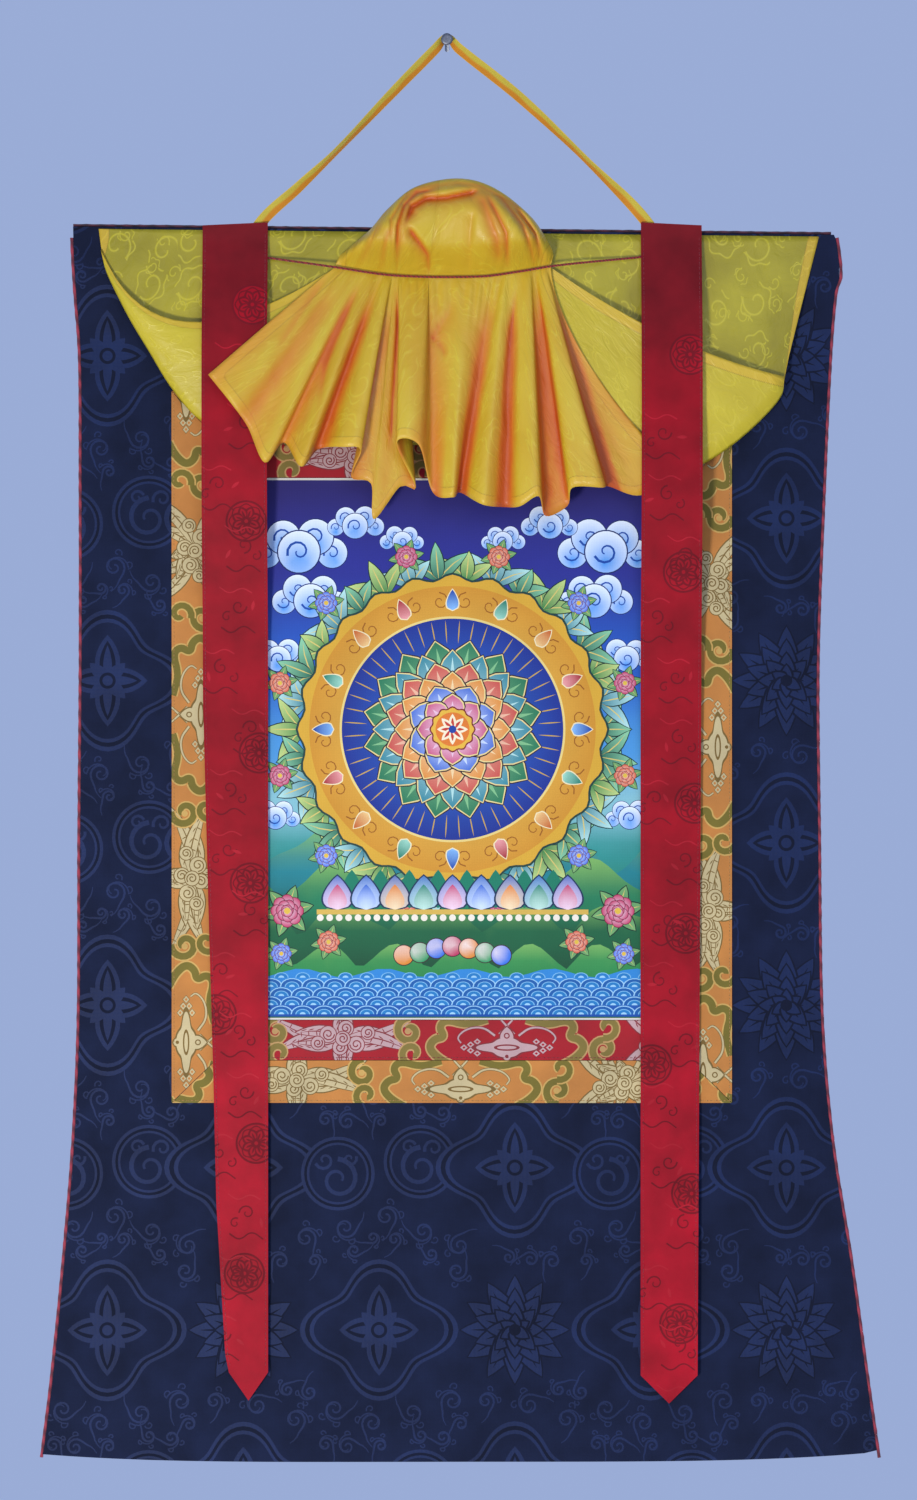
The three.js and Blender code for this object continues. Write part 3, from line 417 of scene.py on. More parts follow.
def damask_figures():
    """One repeat of the weave, 184 by 220 mm, laid over all of the cloth that shows"""
    repeat_x, repeat_z, clouds_tried = 184, 220, 420
    large = [(damask_flower, 46, 0, 49), (damask_flower, 138, 110, 49), (damask_bloom, 46, 110, 41)]
    round_curls = [(110, -4, -1), (166, 4, 1)]
    taken = [(x, z, reach) for _, x, z, reach in large] + [(x, z, 27) for x, z, _ in round_curls]
    clouds = []
    for number in range(clouds_tried):
        x, z = repeat_x * (number * 0.7548777 % 1), repeat_z * (number * 0.5698403 % 1)
        size = 7.5 - 3.6 * number / clouds_tried
        near = []
        for other_x, other_z, reach in taken:
            across = (x - other_x + repeat_x / 2) % repeat_x - repeat_x / 2
            up = (z - other_z + repeat_z / 2) % repeat_z - repeat_z / 2
            near.append(math.hypot(across, up) - reach)
        if min(near) > size + 2.2:
            clouds.append((x, z, size, number * 2.4, 1 if number % 2 else -1))
            taken.append((x, z, size + 1.5))

    def shows(x, z, reach):
        inside = -290 < x < 310 and -970 - reach < z < -110 + reach
        return inside and not (-183 + reach < x < 190 - reach and -711 + reach < z < -237 - reach)
    figures = []
    for row in range(-5, 3):
        for column in range(-3, 3):
            left, low = column * repeat_x, -759 + (row + 1) * repeat_z
            for make, x, z, reach in large:
                if shows(left + x, low + z, reach):
                    figures += make(left + x, low + z)
            for x, z, sense in round_curls:
                if shows(left + x, low + z, 25):
                    figures += damask_roundel(left + x, low + z, sense)
            for x, z, size, turn, sense in clouds:
                if shows(left + x, low + z, size):
                    figures += damask_cloud(left + x, low + z, size, turn, sense)
    return figures


def part_way(start, end, step, steps):
    return tuple(a + (b - a) * step / steps for a, b in zip(start, end))


def hem_row(first, last, height, count, edge):
    """Points across the cloth, from one side edge to the other"""
    ends = ((side_x(first, height),), (side_x(last, height),))
    places = [part_way(*ends, step, 60)[0] for step in range(count)]
    return [(x, edge(x)) for x in places]


def side_row(side):
    places = [(side_x(side, -958.5 + 9 * step), -958.5 + 9 * step) for step in range(1, 93)]
    return [(x, max(height, bottom_edge(x) + 0.5)) for x, height in places]


ground_outline = hem_row(1, 2, -958, 60, bottom_edge) + side_row(2)
ground_outline += hem_row(2, 1, -124, 61, top_edge) + side_row(1)[::-1]


def mixed(tree, share, first, second):
    """Colour between two, each a hex code or a socket"""
    tones = [(*dye(tone), 1) if isinstance(tone, str) else tone for tone in (first, second)]
    return add_node(tree, "Mix", {0: share, 6: tones[0], 7: tones[1]}, data_type="RGBA")[2]


def cord_material(name, colour, groove_shade, twist):
    """Dull thread-covered cord with a slanting ply, and painted shade that darkens the grooves between its
    strands
    """
    material, tree, shader = new_material(name)
    place = add_node(tree, "TexCoord", {})["Object"]
    wave = {"Vector": place, "Scale": twist, "Distortion": 1.5}
    ply = add_node(tree, "TexWave", wave, bands_direction="DIAGONAL")["Fac"]
    bump = add_node(tree, "Bump", {"Height": ply, "Strength": 0.5, "Distance": 0.2 * MM})["Normal"]
    # Painted shade: the colour runs to the dark tone in the grooves of the ply, where its bump is lowest
    tone = mixed(tree, ply, groove_shade, colour)
    set_values(tree, shader, {"Base Color": tone, "Roughness": 0.75, "Sheen Weight": 0.3, "Normal": bump})
    return material


def stitch_tree():
    """Node tree that lays short threads along a line of points, each a little longer or shorter"""
    tree = bpy.data.node_groups.new("running_stitch", "GeometryNodeTree")
    face = tree.interface
    face.new_socket("Geometry", in_out="INPUT", socket_type="NodeSocketGeometry")
    for name in ("Spacing", "Length", "Thickness"):
        face.new_socket(name, in_out="INPUT", socket_type="NodeSocketFloat")
    face.new_socket("Thread", in_out="INPUT", socket_type="NodeSocketMaterial")
    face.new_socket("Geometry", in_out="OUTPUT", socket_type="NodeSocketGeometry")

    def add(kind):
        return tree.nodes.new("GeometryNode" + kind)
    given, result = tree.nodes.new("NodeGroupInput"), tree.nodes.new("NodeGroupOutput")
    line, points = add("MeshToCurve"), add("CurveToPoints")
    points.mode = "LENGTH"
    thread, placed = add("MeshCylinder"), add("InstanceOnPoints")
    thread.inputs["Vertices"].default_value = 5
    chance = tree.nodes.new("FunctionNodeRandomValue")
    chance.data_type = "FLOAT_VECTOR"
    chance.inputs[0].default_value = (1, 1, 0.8)
    chance.inputs[1].default_value = (1, 1, 1.15)
    chance.inputs["Seed"].default_value = 4
    solid, coloured = add("RealizeInstances"), add("SetMaterial")
    links = (
        (given.outputs["Geometry"], line.inputs["Mesh"]),
        (line.outputs["Curve"], points.inputs["Curve"]),
        (given.outputs["Spacing"], points.inputs["Length"]),
        (given.outputs["Thickness"], thread.inputs["Radius"]),
        (given.outputs["Length"], thread.inputs["Depth"]),
        (points.outputs["Points"], placed.inputs["Points"]),
        (points.outputs["Rotation"], placed.inputs["Rotation"]),
        (thread.outputs["Mesh"], placed.inputs["Instance"]),
        (chance.outputs["Value"], placed.inputs["Scale"]),
        (placed.outputs["Instances"], solid.inputs["Geometry"]),
        (solid.outputs["Geometry"], coloured.inputs["Geometry"]),
        (given.outputs["Thread"], coloured.inputs["Material"]),
        (coloured.outputs["Geometry"], result.inputs["Geometry"]),
    )
    for start, end in links:
        tree.links.new(start, end)
    return tree


STITCHES = stitch_tree()


def stitched(name, lines, spacing, length, thickness, material):
    """Row of stitches along each line of points (x, depth, z)"""
    verts, edges = [], []
    for line in lines:
        start = len(verts)
        verts += [(x * MM, -depth * MM, z * MM) for x, depth, z in line]
        edges += [(start + k, start + k + 1) for k in range(len(line) - 1)]
    path = bpy.data.meshes.new(name + "_line")
    path.from_pydata(verts, edges, [])
    sewn = bpy.data.objects.new(name, path)
    scene.collection.objects.link(sewn)
    rows = sewn.modifiers.new("stitches", "NODES")
    rows.node_group = STITCHES
    values = {"Spacing": spacing * MM, "Length": length * MM, "Thickness": thickness * MM / 2}
    values["Thread"] = material
    for socket in STITCHES.interface.items_tree:
        if socket.in_out == "INPUT" and socket.name in values:
            rows[socket.identifier] = values[socket.name]
    bpy.context.view_layer.update()
    graph = bpy.context.evaluated_depsgraph_get()
    mesh = bpy.data.meshes.new_from_object(sewn.evaluated_get(graph))
    sewn.modifiers.remove(rows)
    sewn.data = mesh
    bpy.data.meshes.remove(path)
    mesh.shade_smooth()
    return sewn


lining = (*dye("#141c33"), 0.0)
ground_cloth = cloth_sheet(
    "damask_ground", ground_outline, damask_figures(), (12, 7), cloth_depth, ground_back, navy_ground, lining
)
ground_cloth.data.materials.append(cloth_material("navy_damask", 0.0009, 0.8, 0.5, 0.14, 0.14, 0.3, 0.25))
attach(ground_cloth, "root")
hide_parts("ground_cloth")
seams = []
for side, inward in ((1, 7), (2, -7)):
    heights = [-950 + 6.85 * step for step in range(120)]
    seam = [(side_x(side, z) + inward, z) for z in heights]
    seams.append([(x, ground_back(x, z) - 0.05, z) for x, z in seam])
for edge, up in ((bottom_edge, 9), (top_edge, -CASING_HEIGHT - 6)):
    low_x, high_x = (side_x(side, edge(0) + up) for side in (1, 2))
    across = [low_x + 7 + (high_x - low_x - 14) * step / 60 for step in range(61)]
    seams.append([(x, ground_back(x, edge(x) + up) - 0.05, edge(x) + up) for x in across])
ground_thread = cord_material("navy_thread", "#34446f", "#1e2a4c", 300)
ground_stitches = stitched("stitches_ground", seams, 4.2, 2.8, 0.45, ground_thread)
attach(ground_stitches, "root")

# Piping
# Cords of folded cloth sewn down both sides, dull red, and a thin dark maroon one along the top.
# Each is caught with fine slanting stitches, so its edge is a little uneven.


def heading(path, index):
    """Direction of a path of points (x, depth, z) at one of them"""
    ahead, behind = path[min(index + 1, len(path) - 1)], path[max(index - 1, 0)]
    return Vector((ahead[0] - behind[0], behind[1] - ahead[1], ahead[2] - behind[2])).normalized()


def piping(name, centres, wobble, material):
    rings, radius, verts, polys = 8, 1.15, [], []
    for index, (x, depth, z) in enumerate(centres):
        along = heading(centres, index)
        side = along.cross(Vector((0, -1, 0))).normalized()
        front = side.cross(along)
        uneven = wobble * noise.noise(Vector((x, z, 0)) * 0.21) + wobble * 0.6 * math.cos(index * 2.1)
        for k in range(rings):
            angle = 2 * math.pi * k / rings
            out = (side * math.cos(angle) + front * math.sin(angle)) * (radius * (1 + uneven))
            verts.append((Vector((x, -depth, z)) + out) * MM)
            n, start = (k + 1) % rings, index * rings
            if index < len(centres) - 1:
                polys.append((start + k, start + rings + k, start + rings + n, start + n))
    polys.append(tuple(range(rings)))
    polys.append(tuple(reversed(range(len(verts) - rings, len(verts)))))
    piece = add_piece(name, verts, polys)
    piece.data.materials.append(material)
    return piece


red_cord = cord_material("dull_red_cord", "#9c2b3c", "#5e1726", 55)
for name, side, outward in (("piping_left", 1, -1), ("piping_right", 2, 1)):
    edge = [(side_x(side, -954.5 + 3 * step), -954.5 + 3 * step) for step in range(276)]
    centres = [(x + outward * 1.1, cloth_depth(x, z) - 1, z) for x, z in edge]
    cord = piping("cord_" + name, centres, 0.16, red_cord)
    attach(cord, "root")
    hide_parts(name)

top_centres = [(-253 + 3 * step, 10, top_edge(-253 + 3 * step) + 1.1) for step in range(172)]
top_cord = piping("cord_piping_top", top_centres, 0.14, cord_material("maroon_cord", "#5b2430", "#33141d", 55))
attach(top_cord, "root")
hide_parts("piping_top")

# Brocade borders
# Four mitred strips of ochre brocade and four of red inside them, laid flat on the ground cloth.
# Olive bands with a gold edge wind through them around flowers, leaves and diamonds in pale metal thread.
# Left, right, top and bottom of each outline, and the gap at a seam
YELLOW_OUTLINE = (-186.5, 193, -233, -715)
RED_OUTLINE = (-156.5, 163.5, -264.5, -686)
PANEL_OUTLINE = (-125.5, 133, -291.5, -659)
SEAM = 0.35


def brocade_tones(ground, olive, edge, pale, line):
    return {
        "ground": (*dye(ground), 0.15),
        "olive": (*dye(olive), 0.35),
        "edge": (*dye(edge), 0.9),
        "pale": (*dye(pale), 1.0),
        "line": (*dye(line), 0.3),
    }


def edged(path, width, tones, taper=0.0):
    """Olive band with a gold edge"""
    return [(band(path, width + 2.2, taper), tones["edge"]), (band(path, width, taper), tones["olive"])]


def lined(path, line_width, width, taper, tones):
    """Pale band with a dark line on both sides"""
    return [(band(path, line_width, taper), tones["line"]), (band(path, width, taper), tones["pale"])]


def cartouche(s, t, tones, way):
    """Lobed olive brackets round a pale plate with an oval slit, a lattice of diamonds at each side and a
    drop over crossed stems"""
    figures = []
    bracket = ((38, 17), (47, 12), (53, 5), (49, -1), (42, -2), (46, -9), (41, -14), (27, -10), (13, -14))
    stem = ((8, -3), (16, -9), (27, -8), (34, -2), (31, 2))
    cross = ((5, -4), (-5, -15))
    for sense in (-1, 1):
        bracket_path, stem_path, cross_path = (
            [(s + x * sense, t + z * way) for x, z in points] for points in (bracket, stem, cross)
        )
        figures += edged(rounded(bracket_path), 5.4, tones, 0.15)
        figures += lined(rounded(stem_path), 2.4, 1.4, 0.4, tones)
        figures += lined(cross_path, 2.6, 1.5, 0.3, tones)
        for across, ups in ((20, (-4, 0, 4)), (24.5, (-2, 2)), (29, (0,))):
            for up in ups:
                x, z = s + across * sense, t + (5 + up) * way
                for size, tone in ((3.0, "line"), (2.5, "pale"), (1.1, "ground")):
                    diamond = [(x - size, z), (x, z - size * 0.85), (x + size, z), (x, z + size * 0.85)]
                    figures.append((diamond, tones[tone]))
    for grow, tone in ((0.9, "line"), (0, "pale")):
        figures.append((lobed(s, t + 5 * way, 5.6 + grow, 4, 0.2, 3.1), tones[tone]))
        figures.append((petal(s, t + 3 * way, 12 + grow, 9 + grow * 2, -90 * way, 0.8), tones[tone]))
        figures.append((lobed(s, t + 11 * way, 2.6 + grow, count=20), tones[tone]))
    slits = ((2.2, 4.0, 5, "line"), (1.2, 5.5, 5, "pale"), (2.0, 1, -3, "line"), (1.2, 1, -3, "pale"))
    for radius, stretch, up, tone in (*slits, (1.2, 1, 11, "line")):
        figures.append((lobed(s, t + up * way, radius, stretch=stretch, count=24), tones[tone]))
    return figures


def leaf_spray(s, t, tones, sense):
    """Spray of curved leaves with hatched veins, and small curls over its foot"""
    figures = []
    leaves = (
        (190, 46, 11, -0.5), (166, 44, 11, 0.45), (212, 32, 10, -0.5), (146, 30, 10, 0.5), (240, 21, 10, 0.5),
        (120, 21, 10, -0.5), (272, 17, 9, 0.3), (88, 17, 9, -0.3), (300, 21, 10, -0.5), (60, 21, 10, 0.5),
        (330, 32, 10, 0.5), (32, 30, 10, -0.5), (350, 46, 11, 0.5), (14, 44, 11, -0.45),
    )
    for turn, length, width, bend in leaves:
        bend *= sense
        figures.append((petal(s, t, length, width, turn, 1.2, 12, bend), tones["line"]))
        figures.append((petal(s, t, length - 1.1, width - 1.6, turn, 1.2, 12, bend), tones["pale"]))
        figures.append((petal(s, t, length - 3, 1.0, turn, 1, 9, bend), tones["line"]))
        for notch in (0.45, 0.6, 0.75, 0.88):
            [vein] = swung(s, t, turn, [(length * notch, bend * length * notch * notch)])
            figures += [(petal(*vein, 4.2, 0.7, turn + way), tones["line"]) for way in (130, -130)]
    curls = (
        (-10, 3, 5, 0), (9, -4, 5, 180), (-2, -6, 4.4, 90), (2, 7, 4.6, 270), (-17, -3, 4, 40), (17, 4, 4, 220),
        (0, 0, 4.4, 130),
    )
    for number, (x, z, radius, start) in enumerate(curls):
        turns = curl(s + x, t + z, radius - 0.6, 1.5, start, 1 if number % 2 else -1, 18)
        figures.append((lobed(s + x, t + z, radius + 1, count=20), tones["line"]))
        figures.append((lobed(s + x, t + z, radius + 0.4, count=20), tones["pale"]))
        figures.append((band(turns, 0.8), tones["line"]))
    return figures


def olive_scroll(s, t, tones, sense):
    """Olive band that curls back on itself twice, between two motifs"""
    figures = edged(curl(s, t + 6 * sense, 9.5, 1.1, 90 * sense, sense, 22), 4.8, tones, 0.2)
    figures += edged(curl(s + 2, t - 9 * sense, 8.0, 0.9, 250, -sense, 16), 4.4, tones, 0.2)
    return figures + [(lobed(s - 1, t + 6 * sense, 2.2, count=14), tones["edge"])]


def brocade_along(length, tones, shift):
    """All motifs along a strip, from its middle line"""
    figures = []
    repeat = 222
    for number in range(-2, 3):
        place = number * repeat + shift
        way = 1 if number % 2 else -1
        figures += leaf_spray(place + repeat / 2, way, tones, way)
        figures += olive_scroll(place + 66, 0, tones, way)
        figures += olive_scroll(place - 66, 0, tones, -way)
        figures += cartouche(place, 0, tones, way)
    middle_reach = length / 2 + 60
    return [(shape, tone) for shape, tone in figures if abs(shape[0][0]) < middle_reach]


def with_steps(corners, count=None):
    """Closed outline through the corners, with points along its sides"""
    outline = []
    for start, end in zip(corners, corners[1:] + corners[:1]):
        steps = count or max(1, round(math.dist(start, end) / 11))
        outline += [part_way(start, end, step, steps) for step in range(steps)]
    return outline


def over_ground(x, z):
    return cloth_depth(x, z) + SEAM


def strip_front(x, z):
    return over_ground(x, z) + 1


def border_strip(name, outer, inner, side, tones, shift):
    left, right, top, bottom = outer
    in_left, in_right, in_top, in_bottom = inner
    middle_x, middle_z = (left + right) / 2, (top + bottom) / 2
    corners, centre = {
        "top": (
            [(left, top), (in_left, in_top), (in_right, in_top), (right, top)],
            (middle_x, (top + in_top) / 2),
        ),
        "bottom": (
            [(left, bottom), (right, bottom), (in_right, in_bottom), (in_left, in_bottom)],
            (middle_x, (bottom + in_bottom) / 2),
        ),
        "left": (
            [(left, top), (left, bottom), (in_left, in_bottom), (in_left, in_top)],
            ((left + in_left) / 2, middle_z),
        ),
        "right": (
            [(right, top), (in_right, in_top), (in_right, in_bottom), (right, bottom)],
            ((right + in_right) / 2, middle_z),
        ),
    }[side]
    mitre = 0.25
    lies = side in ("top", "bottom")
    if lies:
        shaped = [(x + (mitre if x < middle_x else -mitre), z) for x, z in corners]
    else:
        shaped = [(x, z + (mitre if z < middle_z else -mitre)) for x, z in corners]
    figures = []
    for shape, tone in brocade_along(right - left if lies else top - bottom, tones, shift):
        if lies:
            moved = [(centre[0] + s, centre[1] + t) for s, t in shape]
        else:
            moved = [(centre[0] - t, centre[1] + s) for s, t in shape]
        figures.append((moved, tone))
    return cloth_sheet(name, with_steps(shaped), figures, (9, 9), strip_front, over_ground, tones["ground"])


ochre_tones = brocade_tones("#c9823a", "#7a6c20", "#d2a755", "#cdb985", "#7d6128")
red_tones = brocade_tones("#a80f1c", "#857230", "#c2965a", "#c4a09c", "#86282c")
ochre_brocade = cloth_material("ochre_brocade", 0.0007, 0.62, 0.38, 0.3, 0.14, 0.55)
red_brocade = cloth_material("red_brocade", 0.0007, 0.6, 0.38, 0.3, 0.14, 0.55)
ochre_thread = cord_material("ochre_thread", "#c8954a", "#8f6428", 300)
red_thread = cord_material("red_thread", "#9a1a26", "#5f0f18", 300)
seam_edge = (RED_OUTLINE[0] - SEAM, RED_OUTLINE[1] + SEAM, RED_OUTLINE[2] + SEAM, RED_OUTLINE[3] - SEAM)
ochre_look = ("ochre_strip_", "yellow_border_", "ochre_brocade", ochre_tones, ochre_brocade, ochre_thread)
red_look = ("red_strip_", "red_border_", "red_brocade", red_tones, red_brocade, red_thread)
strip_kinds = ((*ochre_look, YELLOW_OUTLINE, seam_edge, 0), (*red_look, RED_OUTLINE, PANEL_OUTLINE, 31))
strip_sides = (
    ("top", 14, 2, (0, 2), (1, 2)), ("bottom", 6, 3, (0, 3), (1, 3)),
    ("left", 22, 0, (0, 3), (0, 2)), ("right", 0, 1, (1, 3), (1, 2)),
)
for side, shift, seam_side, row_start, row_end in strip_sides:
    for prefix, node, slot, tones, material, thread, outer, inner, further in strip_kinds:
        strip = border_strip(prefix + side, outer, inner, side, tones, shift + further)
        strip.data.materials.append(material)
        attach(strip, "root")
        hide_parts(node + side)
        inset = (outer[0] + 1.6, outer[1] - 1.6, outer[2] - 1.6, outer[3] + 1.6)
        row = []
        for k in range(41):
            x, z = part_way([inset[c] for c in row_start], [inset[c] for c in row_end], k, 40)
            row.append((x, cloth_depth(x, z) + SEAM + 1.05, z))
        sewn = stitched("stitches_" + prefix + side, [row], 3.1, 2.1, 0.4, thread)
        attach(sewn, "root")

# Painted panel
# Canvas painted in mineral colours and gold, with a thin pale margin at its top and bottom edge.
# The design is a generic one: a jewelled ring, rounds of lotus petals, corner blossoms, hills and water.


def wash(stops):
    """Ground colour by height, from a table of heights and colours"""
    def tone(x, z):
        for (low, low_colour), (high, high_colour) in zip(stops, stops[1:]):
            if z <= high:
                return (*mix(dye(low_colour), dye(high_colour), smoothstep(z, low, high)), 0.0)
        return (*dye(stops[-1][1]), 0.0)
    return tone


def glow(x, z, radius, inner, outer):
    """Colour that runs from the middle of a round outward"""
    first, last = dye(inner), dye(outer)

    def tone(px, pz):
        return (*mix(first, last, min(math.hypot(px - x, pz - z) / radius, 1)), 0.0)
    return tone


def flat(code, shine=0.0):
    return (*dye(code), shine)


def blossom(x, z, size, tip, heart, leaf):
    """Full blossom over a spread of leaves"""
    figures = []
    for number in range(6):
        turn = 12 + 60 * number
        figures.append((petal(x, z, size * 1.7, size * 0.95, turn, 0.7, 7), flat("#0d2b22")))
        green = glow(x, z, size * 1.7, leaf, "#7fb069")
        figures.append((petal(x, z, size * 1.62, size * 0.8, turn, 0.7, 7), green))
        figures.append((petal(x, z, size * 1.45, size * 0.08, turn, 1, 4), flat("#d9c36a", 1)))
    for count, reach, width, shift in ((8, 1.0, 0.36, 0), (7, 0.68, 0.32, 20), (5, 0.38, 0.26, 5)):
        for number in range(count):
            px, pz = around(x, z, size * (reach - width), shift + 360 * number / count)
            figures.append((lobed(px, pz, size * width * 1.12, count=12), flat("#6d1230")))
            figures.append((lobed(px, pz, size * width, count=12), glow(x, z, size * reach, heart, tip)))
    return figures + [(lobed(x, z, size * 0.2, 8, 0.12, count=24), flat("#e2b93f", 1))]


def cloud(x, z, size, sense):
    """Rolling cloud of round lobes with a bright rim"""
    figures = []
    lobes = ((-1.5, -0.3, 0.72), (1.45, -0.35, 0.66), (-0.75, 0.42, 0.85), (0.7, 0.4, 0.8), (0, -0.25, 1.0))
    for dx, dz, radius in lobes:
        cx, cz, r = x + dx * size * sense, z + dz * size, radius * size
        figures.append((lobed(cx, cz, r, count=26), flat("#12245e")))
        bright = glow(cx, cz - r * 0.5, r * 1.5, "#2f8fe0", "#eef6fb")
        figures.append((lobed(cx, cz, r * 0.94, count=26), bright))
        figures.append((band(curl(cx, cz, r * 0.55, 1.1, 200, sense, 14), r * 0.12, 0.5), flat("#10489c")))
    return figures


def landscape(left, right, top, bottom, middle):
    """Sky, four rows of hills, and water with scaled waves"""
    sky = wash((
        (-640, "#0f5a3a"), (-580, "#1a7a52"), (-545, "#2f8f86"), (-512, "#86bfc4"),
        (-478, "#4a96cf"), (-420, "#1f58b4"), (-350, "#262a86"), (-290, "#241b63"),
    ))
    low, high = bottom + 1.6, top - 1.8
    figures = [([(left, low), (right, low), (right, high), (left, high)], sky)]
    hills = (
        (-560, 34, 120, "#1b7f86", 0.2), (-578, 26, 84, "#1f7a50", 1.1),
        (-600, 18, 61, "#15603a", 2.0), (-622, 12, 47, "#2f8a48", 4.0),
    )
    for base, height, length, code, shift in hills:
        ridge = []
        for step in range(48):
            x = left + (right - left) * step / 47
            ridge.append((x, base + height * abs(math.sin(math.pi * x / length + shift)) + 3 * math.sin(x / 7)))
        tone = wash(((base - 30, "#0f4a2c"), (base, code), (base + height + 8, "#7fb45c")))
        figures.append(([(left, -656), (right, -656)] + ridge[::-1], tone))
    shore = [right - (right - left) * step / 29 for step in range(30)]
    water = [(left, -656.5), (right, -656.5), (right, -628)] + [(x, -627 + 3 * math.sin(x / 9)) for x in shore]
    figures.append((water, wash(((-657, "#124a9c"), (-626, "#2f86c8")))))
    scale = ((8.2, "#9ccbe2"), (7.4, "#155a9e"), (5.0, "#7db9da"), (4.3, "#1f78b4"), (2.0, "#9ccbe2"))
    for row in range(5):
        for column in range(-9, 10):
            x, z = middle + (column + (row % 2) / 2) * 14.5, -655 + row * 6.2
            for radius, code in scale:
                angles = [math.pi * k / 9 for k in range(10)]
                arch = [(x + radius * math.cos(angle), z + radius * 0.72 * math.sin(angle)) for angle in angles]
                if z + radius < -624:
                    figures.append((arch, flat(code)))
    return figures


def jewelled_ring(middle, centre):
    """Foliage around a gold ring that is set with jewels, around rounds of petals on blue"""
    figures = []
    leaves = (("#0e5c48", "#8fd0a0"), ("#12707c", "#b9e6dc"), ("#1d7a3c", "#c9dc84"))
    for number in range(34):
        turn = 360 * number / 34
        x, z = around(middle, centre, 101, turn)
        long = 27 if number % 2 else 21
        for spread in (-34, 34, 0):
            way, bend = turn + spread, spread / 110
            green = glow(x, z, long, *leaves[number % 3])
            figures.append((petal(x, z, long, 10.5, way, 0.8, 7, bend), flat("#0b2a24")))
            figures.append((petal(x, z, long - 0.9, 9, way, 0.8, 7, bend), green))
            figures.append((petal(x, z, long - 4, 0.9, way, 1, 4, bend), flat("#d9c36a", 1)))
    blossoms = (("#c43a62", "#f5dfe6"), ("#3f6fd0", "#e8f0fb"), ("#d9603a", "#fbe9cf"))
    for number in range(12):
        x, z = around(middle, centre, 121, 15 + 30 * number)
        figures += blossom(x, z, 7.5, *blossoms[number % 3], "#1f7a50")
    for radius, code in ((104, "#0f3a33"), (102.5, "#d9a62e")):
        figures.append((lobed(middle, centre, radius, 24, 0.022, count=144), flat(code, 1)))
    figures.append((lobed(middle, centre, 97, count=120), glow(middle, centre, 97, "#e8c453", "#d1902a")))
    for number in range(32):
        turn = 360 * number / 32 + 5.6
        scroll = curl(*around(middle, centre, 87, turn), 6.2, 1.2, turn, 1 if number % 2 else -1, 12)
        figures.append((band(scroll, 0.9, 0.3), flat("#9a5a12")))
    jewels = (("#8fc3ee", "#173f9a"), ("#f2a6a0", "#a3242c"), ("#f6cf86", "#c65a1c"), ("#a5dcc0", "#157a62"))
    for number in range(16):
        turn = 360 * number / 16
        x, z = around(middle, centre, 80, turn)
        figures.append((petal(x, z, 15.5, 9.6, turn, 0.6), flat("#f2e2b0", 1)))
        figures.append((petal(*around(x, z, 0.7, turn), 14, 8, turn, 0.6), glow(x, z, 14, *jewels[number % 4])))
    figures.append((lobed(middle, centre, 76.5, count=110), flat("#e9cf7a", 1)))
    figures.append((lobed(middle, centre, 75, count=110), glow(middle, centre, 75, "#2f6fc8", "#182f86")))
    for number in range(48):
        turn = 360 * number / 48 + 3.75
        figures.append((petal(*around(middle, centre, 58, turn), 16, 0.8, turn), flat("#c9a23c", 1)))
    rounds = (
        (16, 62, 27, 11.25, "#17724e", "#8fc98a"),
        (16, 55, 22, 0, "#1c7f8e", "#c7ecdf"),
        (12, 47, 25, 15, "#c8453f", "#f6c9a2"),
        (12, 40, 21, 0, "#e0892c", "#fbe6b0"),
        (8, 32, 24, 22.5, "#2a5fc0", "#e4f0fa"),
        (8, 25, 18, 0, "#c63a6c", "#f9e2ea"),
    )
    for count, length, width, shift, tip, foot in rounds:
        outward, inward = glow(middle, centre, length, foot, tip), glow(middle, centre, length, tip, foot)
        layers = (
            (length, width, 9, flat("#2b1524")), (length - 0.8, width - 1.6, 9, flat("#ecd48a", 1)),
            (length - 1.7, width - 3.2, 9, outward), (length - 6, width * 0.16, 5, inward),
        )
        for number in range(count):
            turn = shift + 360 * number / count
            for long, wide, steps, tone in layers:
                figures.append((petal(middle, centre, long, wide, turn, 1.5, steps), tone))
    figures.append((lobed(middle, centre, 15, 12, 0.05, count=60), flat("#7c1f22")))
    figures.append((lobed(middle, centre, 14, 12, 0.05, count=60), flat("#e6b43c", 1)))
    figures.append((lobed(middle, centre, 11.5), flat("#e07a2c")))
    for number in range(8):
        turn = 360 * number / 8
        figures.append((petal(middle, centre, 10.5, 5, turn, 0.8), flat("#f6e7c0")))
        figures.append((petal(middle, centre, 8, 2.2, turn, 0.8), flat("#c63a2c")))
    return figures + [(lobed(middle, centre, 2.6), flat("#1c3f96"))]


